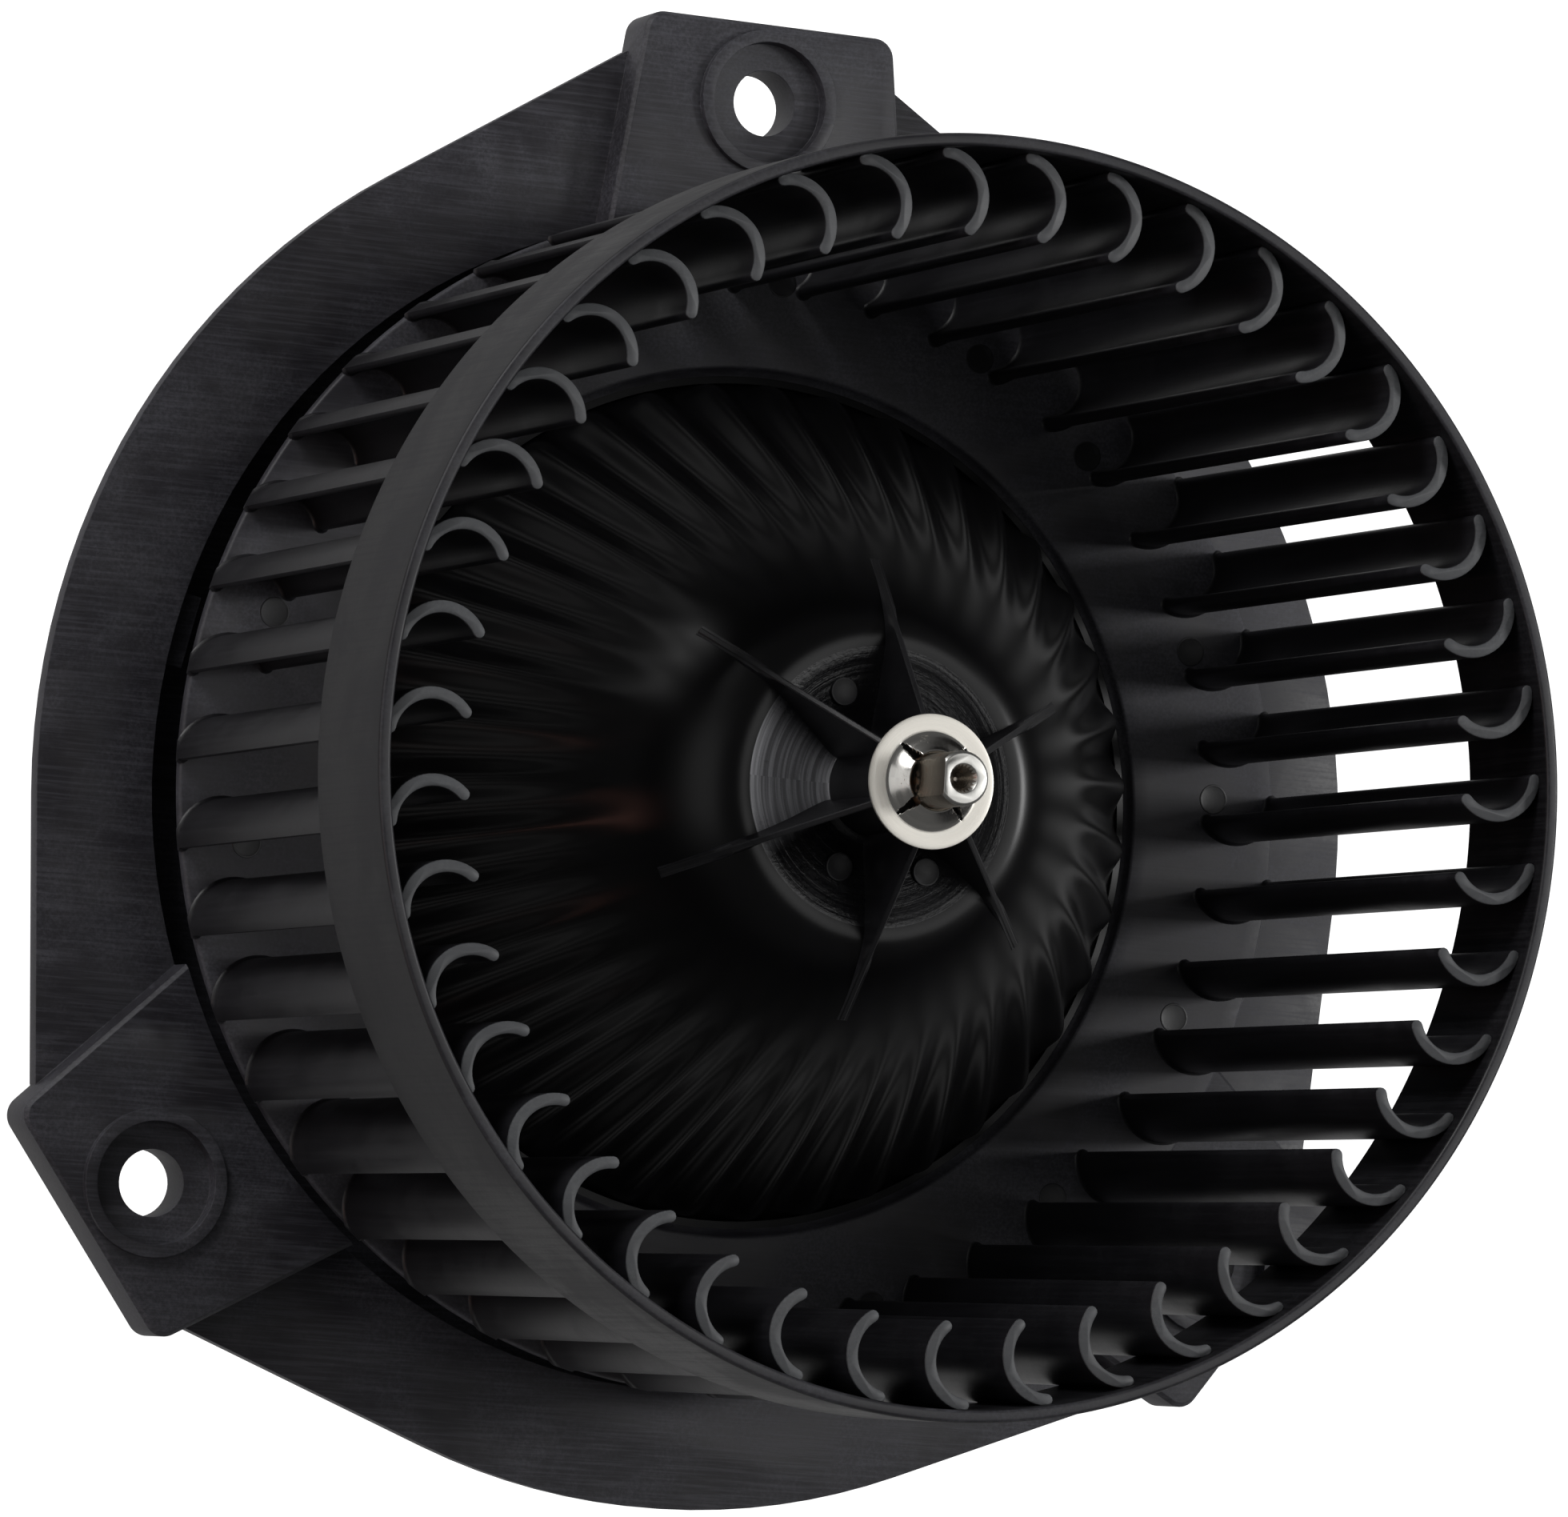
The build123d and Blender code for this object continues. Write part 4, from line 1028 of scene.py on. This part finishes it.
class BLOWER_OT_nut(bpy.types.Operator):
    """Presses the push-on nut: a flat with a softened rim, a cone and four slots"""

    bl_idname = "blower.nut"
    bl_label = "Push-on nut"

    def execute(self, context):
        base, sheet = NUT_LOW.z, 0.62
        rim = NUT_HIGH.x
        bore, cone = 3.5, 5.75
        radii = [bore, 3.65, 3.9, 4.2, 4.6, 5.0, 5.4, cone, 6.0, 6.3, 6.8, rim - 0.5, rim - 0.2,
                 rim - 0.06, rim]
        steps = 192

        def face_height(radius):
            if radius < cone:
                lift = 1.7 * ((cone - radius) / (cone - bore)) ** 1.15
                return base + sheet + lift
            if radius > rim - 0.5:
                return base + sheet - 0.05 * ((radius - rim + 0.5) / 0.5) ** 2
            return base + sheet

        size = len(radii)
        points, faces = [], []
        for k in range(steps):
            angle = 2 * pi * k / steps
            for radius in radii:
                points.append((radius * cos(angle), radius * sin(angle), face_height(radius)))
        for k in range(steps):
            angle = (k + 0.5) / steps * 2 * pi
            for row in range(size - 1):
                middle = (radii[row] + radii[row + 1]) / 2
                nearest = abs(((angle - pi / 4) / (pi / 2) + 0.5) % 1.0 - 0.5) * (pi / 2)
                half_slot = 0.26 + 0.34 * smooth_step(-middle, -5.6, -3.5)
                if middle < 5.8 and nearest * middle < half_slot:
                    continue
                after = (k + 1) % steps
                faces.append((k * size + row, after * size + row, after * size + row + 1, k * size + row + 1))
        mesh = bpy.data.meshes.new("push_on_nut")
        mesh.from_pydata([Vector(p) * MM for p in points], [], faces)
        shaped = bmesh.new()
        shaped.from_mesh(mesh)
        loose = [v for v in shaped.verts if not v.link_faces]
        bmesh.ops.delete(shaped, geom=loose, context="VERTS")
        bmesh.ops.recalc_face_normals(shaped, faces=shaped.faces)
        shaped.to_mesh(mesh)
        shaped.free()
        piece = add_piece("push_on_nut", mesh, materials()["nut"], "rotor", "push_nut", 40)
        if piece.data.polygons[0].normal.z < 0:
            piece.data.flip_normals()
        sheet_metal = piece.modifiers.new("sheet", "SOLIDIFY")
        sheet_metal.thickness = sheet * MM * 0.94
        sheet_metal.offset = -1.0
        corners = piece.modifiers.new("corners", "BEVEL")
        corners.width = 0.09 * MM
        corners.segments = 2
        corners.limit_method = "ANGLE"
        corners.angle_limit = radians(50)
        apply_modifiers(piece)
        piece.data.set_sharp_from_angle(angle=radians(40))
        second_finish(piece, materials()["nut_cone"], lambda centre, normal: (
            hypot(centre.x, centre.y) < cone + 0.12 and abs(normal.z) < 0.97))
        return {"FINISHED"}


class BLOWER_OT_shaft(bpy.types.Operator):
    """Rounds the shaft's corners and gives it its ground, lightly rusted finish"""

    bl_idname = "blower.shaft"
    bl_label = "Shaft"

    def execute(self, context):
        shaft = softened_copy("shaft", "motor_shaft", "shaft", 0.08, 2, 35.0, "rotor")
        second_finish(shaft, materials()["shaft_end"], lambda centre, normal: (
            centre.z > SHAFT_HIGH.z - 0.35 and normal.z > 0.3))
        return {"FINISHED"}


# ---------------------------------------------------------------- flange and motor


class BLOWER_OT_flange(bpy.types.Operator):
    """Rounds every corner of the mounting flange, its ears, collars and ribs"""

    bl_idname = "blower.flange"
    bl_label = "Mounting flange"

    def execute(self, context):
        softened_copy("mounting_flange", "flange_moulding", "flange", 0.35, 3)
        return {"FINISHED"}


class BLOWER_OT_motor(bpy.types.Operator):
    """Dresses the cradle, yoke, rear cover, isolators, end plate and screws"""

    bl_idname = "blower.motor"
    bl_label = "Motor housing"

    def execute(self, context):
        softened_copy("motor_cradle", "motor_cup", "cover", 0.3)
        softened_copy("rear_cover", "rear_cap", "cover", 0.3)
        softened_copy("motor_yoke", "motor_can", "yoke", 0.3)
        softened_copy("cradle_screws", "cup_screws", "zinc", 0.15)
        dress("rubber", "isolator_rings")
        dress("yoke", "end_plate")
        dress("bronze", "front_bush", "rear_bush")
        dress("zinc", "front_retainer", "rear_retainer")
        dress("spacer", "thrust_pad")
        dress("ferrite", "field_magnets")
        dress("spring", "magnet_clips")
        return {"FINISHED"}


class BLOWER_OT_armature(bpy.types.Operator):
    """Dresses the armature: core, windings, commutator and spacers"""

    bl_idname = "blower.armature"
    bl_label = "Armature"

    def execute(self, context):
        dress("core", "armature_core")
        dress("winding", "armature_windings")
        dress("commutator", "commutator")
        dress("spacer", "shaft_spacers")
        return {"FINISHED"}


class BLOWER_OT_brushes(bpy.types.Operator):
    """Dresses the brush card, holders, brushes and springs"""

    bl_idname = "blower.brushes"
    bl_label = "Brush gear"

    def execute(self, context):
        dress("card", "brush_card")
        dress("holder", "brush_holders")
        dress("carbon", "brush_left", "brush_right")
        self.spring("left")
        self.spring("right")
        return {"FINISHED"}

    @staticmethod
    def spring(side):
        """The coil behind one brush: a copy of its frame node's mesh in the spring material."""
        node, joint = "spring_" + side, side + "_brush_slide"
        low, high = node_box(node)
        brush_low, brush_high = node_box("brush_" + side)
        apart = (brush_low + brush_high) / 2 - (low + high) / 2
        along = max(range(3), key=lambda k: abs(apart[k]))
        axis, anchor = Vector((0, 0, 0)), (low + high) / 2
        axis[along] = 1.0
        anchor[along] = low[along] if apart[along] > 0 else high[along]
        mesh = frame["nodes"][node].data.copy()
        coil = add_piece("coil_spring_" + side, mesh, materials()["spring"], "frame", node)
        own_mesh(coil)


class BLOWER_OT_connector(bpy.types.Operator):
    """Rounds the connector shell and dresses its two blades"""

    bl_idname = "blower.connector"
    bl_label = "Connector"

    def execute(self, context):
        softened_copy("connector_shell", "connector_socket", "connector", 0.3)
        softened_copy("terminal_blades", "connector_blades", "tin", 0.12)
        return {"FINISHED"}


# ---------------------------------------------------------------- stage


class BLOWER_OT_stage(bpy.types.Operator):
    """Lays the pale floor and sets the soft lights and the camera"""

    bl_idname = "blower.stage"
    bl_label = "Stage"

    def execute(self, context):
        stage = context.scene.blower_stage
        self.floor(stage)
        self.room(context.scene, stage)
        aim = Vector((0.0, 0.0, (SEAT_Z + 30.0) * MM))
        white, warm = (1.0, 1.0, 1.0), (1.0, 0.42, 0.32)
        self.lamp("front", aim, (0.42, 0.04, 0.91), 1.25, (0.55, 0.55), stage.front_power, white)
        self.lamp("side", aim, (0.77, 0.10, 0.64), 1.20, (0.22, 0.22), stage.side_power, white)
        self.lamp("left", aim, (-0.64, 0.66, 0.38), 1.20, (0.45, 0.45), stage.left_power, white)
        self.lamp("low", aim, (-0.80, 0.05, 0.60), 1.20, (0.80, 0.80), stage.low_power, white)
        self.lamp("strip", aim, (-0.95, -0.205, 0.26), 1.20, (0.05, 0.40), stage.strip_power, warm)
        self.camera(context.scene, stage)
        return {"FINISHED"}

    @staticmethod
    def floor(stage):
        """A wide pale floor, very slightly mottled."""
        half, drop = 3.0, -0.0002
        points = [(-half, -half, drop), (half, -half, drop), (half, half, drop), (-half, half, drop)]
        faces = [(0, 1, 2, 3)]
        mesh = bpy.data.meshes.new("floor")
        mesh.from_pydata(points, [], faces)
        floor = bpy.data.objects.new("floor", mesh)
        bpy.context.scene.collection.objects.link(floor)
        pale, tree, shader = new_material("pale_floor", (0.5, 0.5, 0.5), 0.85)
        spot = object_place(tree)
        tone = spread(tree, noise(tree, spot, 6.0, 3.0, 0.5), 0.3, 0.7)
        mottled = mix_colour(tree, tone, (0.50, 0.50, 0.50), (0.53, 0.53, 0.53))
        link(tree, mottled, shader.inputs["Base Color"])
        shader.inputs["Emission Color"].default_value = (1, 1, 1, 1)
        seen = tree.nodes.new("ShaderNodeLightPath")
        extra = times(tree, seen.outputs["Is Camera Ray"], stage.floor_white)
        link(tree, plus(tree, extra, stage.floor_glow), shader.inputs["Emission Strength"])
        below = tree.nodes.new("ShaderNodeNewGeometry")
        link(tree, math_node(tree, "SUBTRACT", 1.0, below.outputs["Backfacing"]), shader.inputs["Alpha"])
        mesh.materials.append(pale)

    @staticmethod
    def room(scene, stage):
        """Even light from all round."""
        world = bpy.data.worlds.new("studio")
        scene.world = world
        world.use_nodes = True
        background = world.node_tree.nodes["Background"]
        background.inputs["Color"].default_value = (1, 1, 1, 1)
        background.inputs["Strength"].default_value = stage.room_light
        scene.view_settings.view_transform = "Standard"

    @staticmethod
    def lamp(label, aim, way, distance, size, power, colour):
        """A soft light at a distance from the aim along a direction, facing the aim."""
        light = bpy.data.lights.new(label, "AREA")
        light.shape = "RECTANGLE"
        light.energy = power
        light.size, light.size_y = size
        light.color = colour
        lamp = bpy.data.objects.new(label, light)
        lamp.location = aim + Vector(way).normalized() * distance
        lamp.rotation_euler = (aim - lamp.location).to_track_quat("-Z", "Y").to_euler()
        bpy.context.scene.collection.objects.link(lamp)

    @staticmethod
    def camera(scene, stage):
        """The viewing camera, placed from the front ring's plane and radius."""
        data = bpy.data.cameras.new("view")
        data.lens = stage.lens
        data.sensor_width = 36.0
        camera = bpy.data.objects.new("view", data)
        scene.collection.objects.link(camera)
        right, up, back = (0.9204, -0.0345, 0.3894), (0.0188, 0.9989, 0.0439), (-0.3905, -0.0331, 0.9200)
        reach = RING_RADIUS * MM
        place = (-5.950 * reach, -0.442 * reach, 13.226 * reach)
        rows = [(right[k], up[k], back[k], place[k]) for k in range(3)]
        local = Matrix((*rows, (0, 0, 0, 1)))
        turn = Matrix.Rotation(radians(6.2), 4, "Z")
        camera.matrix_world = Matrix.Translation((0, 0, RING_HIGH.z * MM)) @ turn @ local
        scene.camera = camera


class BLOWER_PT_panel(bpy.types.Panel):
    """Buttons and sizes of the blower in the sidebar"""

    bl_idname = "BLOWER_PT_panel"
    bl_label = "Blower Motor Wheel"
    bl_space_type = "VIEW_3D"
    bl_region_type = "UI"
    bl_category = "Blower"

    def draw(self, context):
        layout = self.layout
        for group in (context.scene.blower_wheel, context.scene.blower_finish, context.scene.blower_stage):
            for label in group.__annotations__:
                layout.prop(group, label)
        for operator in OPERATORS:
            layout.operator(operator.bl_idname)


OPERATORS = (
    BLOWER_OT_stage, BLOWER_OT_ring, BLOWER_OT_blades, BLOWER_OT_plate, BLOWER_OT_bell, BLOWER_OT_hub,
    BLOWER_OT_nut, BLOWER_OT_shaft, BLOWER_OT_flange, BLOWER_OT_motor, BLOWER_OT_armature, BLOWER_OT_brushes,
    BLOWER_OT_connector,
)
CLASSES = (BlowerWheelSizes, BlowerFinish, BlowerStage, *OPERATORS, BLOWER_PT_panel)


def register():
    for item in CLASSES:
        bpy.utils.register_class(item)
    bpy.types.Scene.blower_wheel = PointerProperty(type=BlowerWheelSizes)
    bpy.types.Scene.blower_finish = PointerProperty(type=BlowerFinish)
    bpy.types.Scene.blower_stage = PointerProperty(type=BlowerStage)


def unregister():
    del bpy.types.Scene.blower_stage
    del bpy.types.Scene.blower_finish
    del bpy.types.Scene.blower_wheel
    for item in reversed(CLASSES):
        bpy.utils.unregister_class(item)


def main():
    register()
    for operator in OPERATORS:
        getattr(bpy.ops.blower, operator.bl_idname.split(".")[1])()


if __name__ == "__main__":
    main()
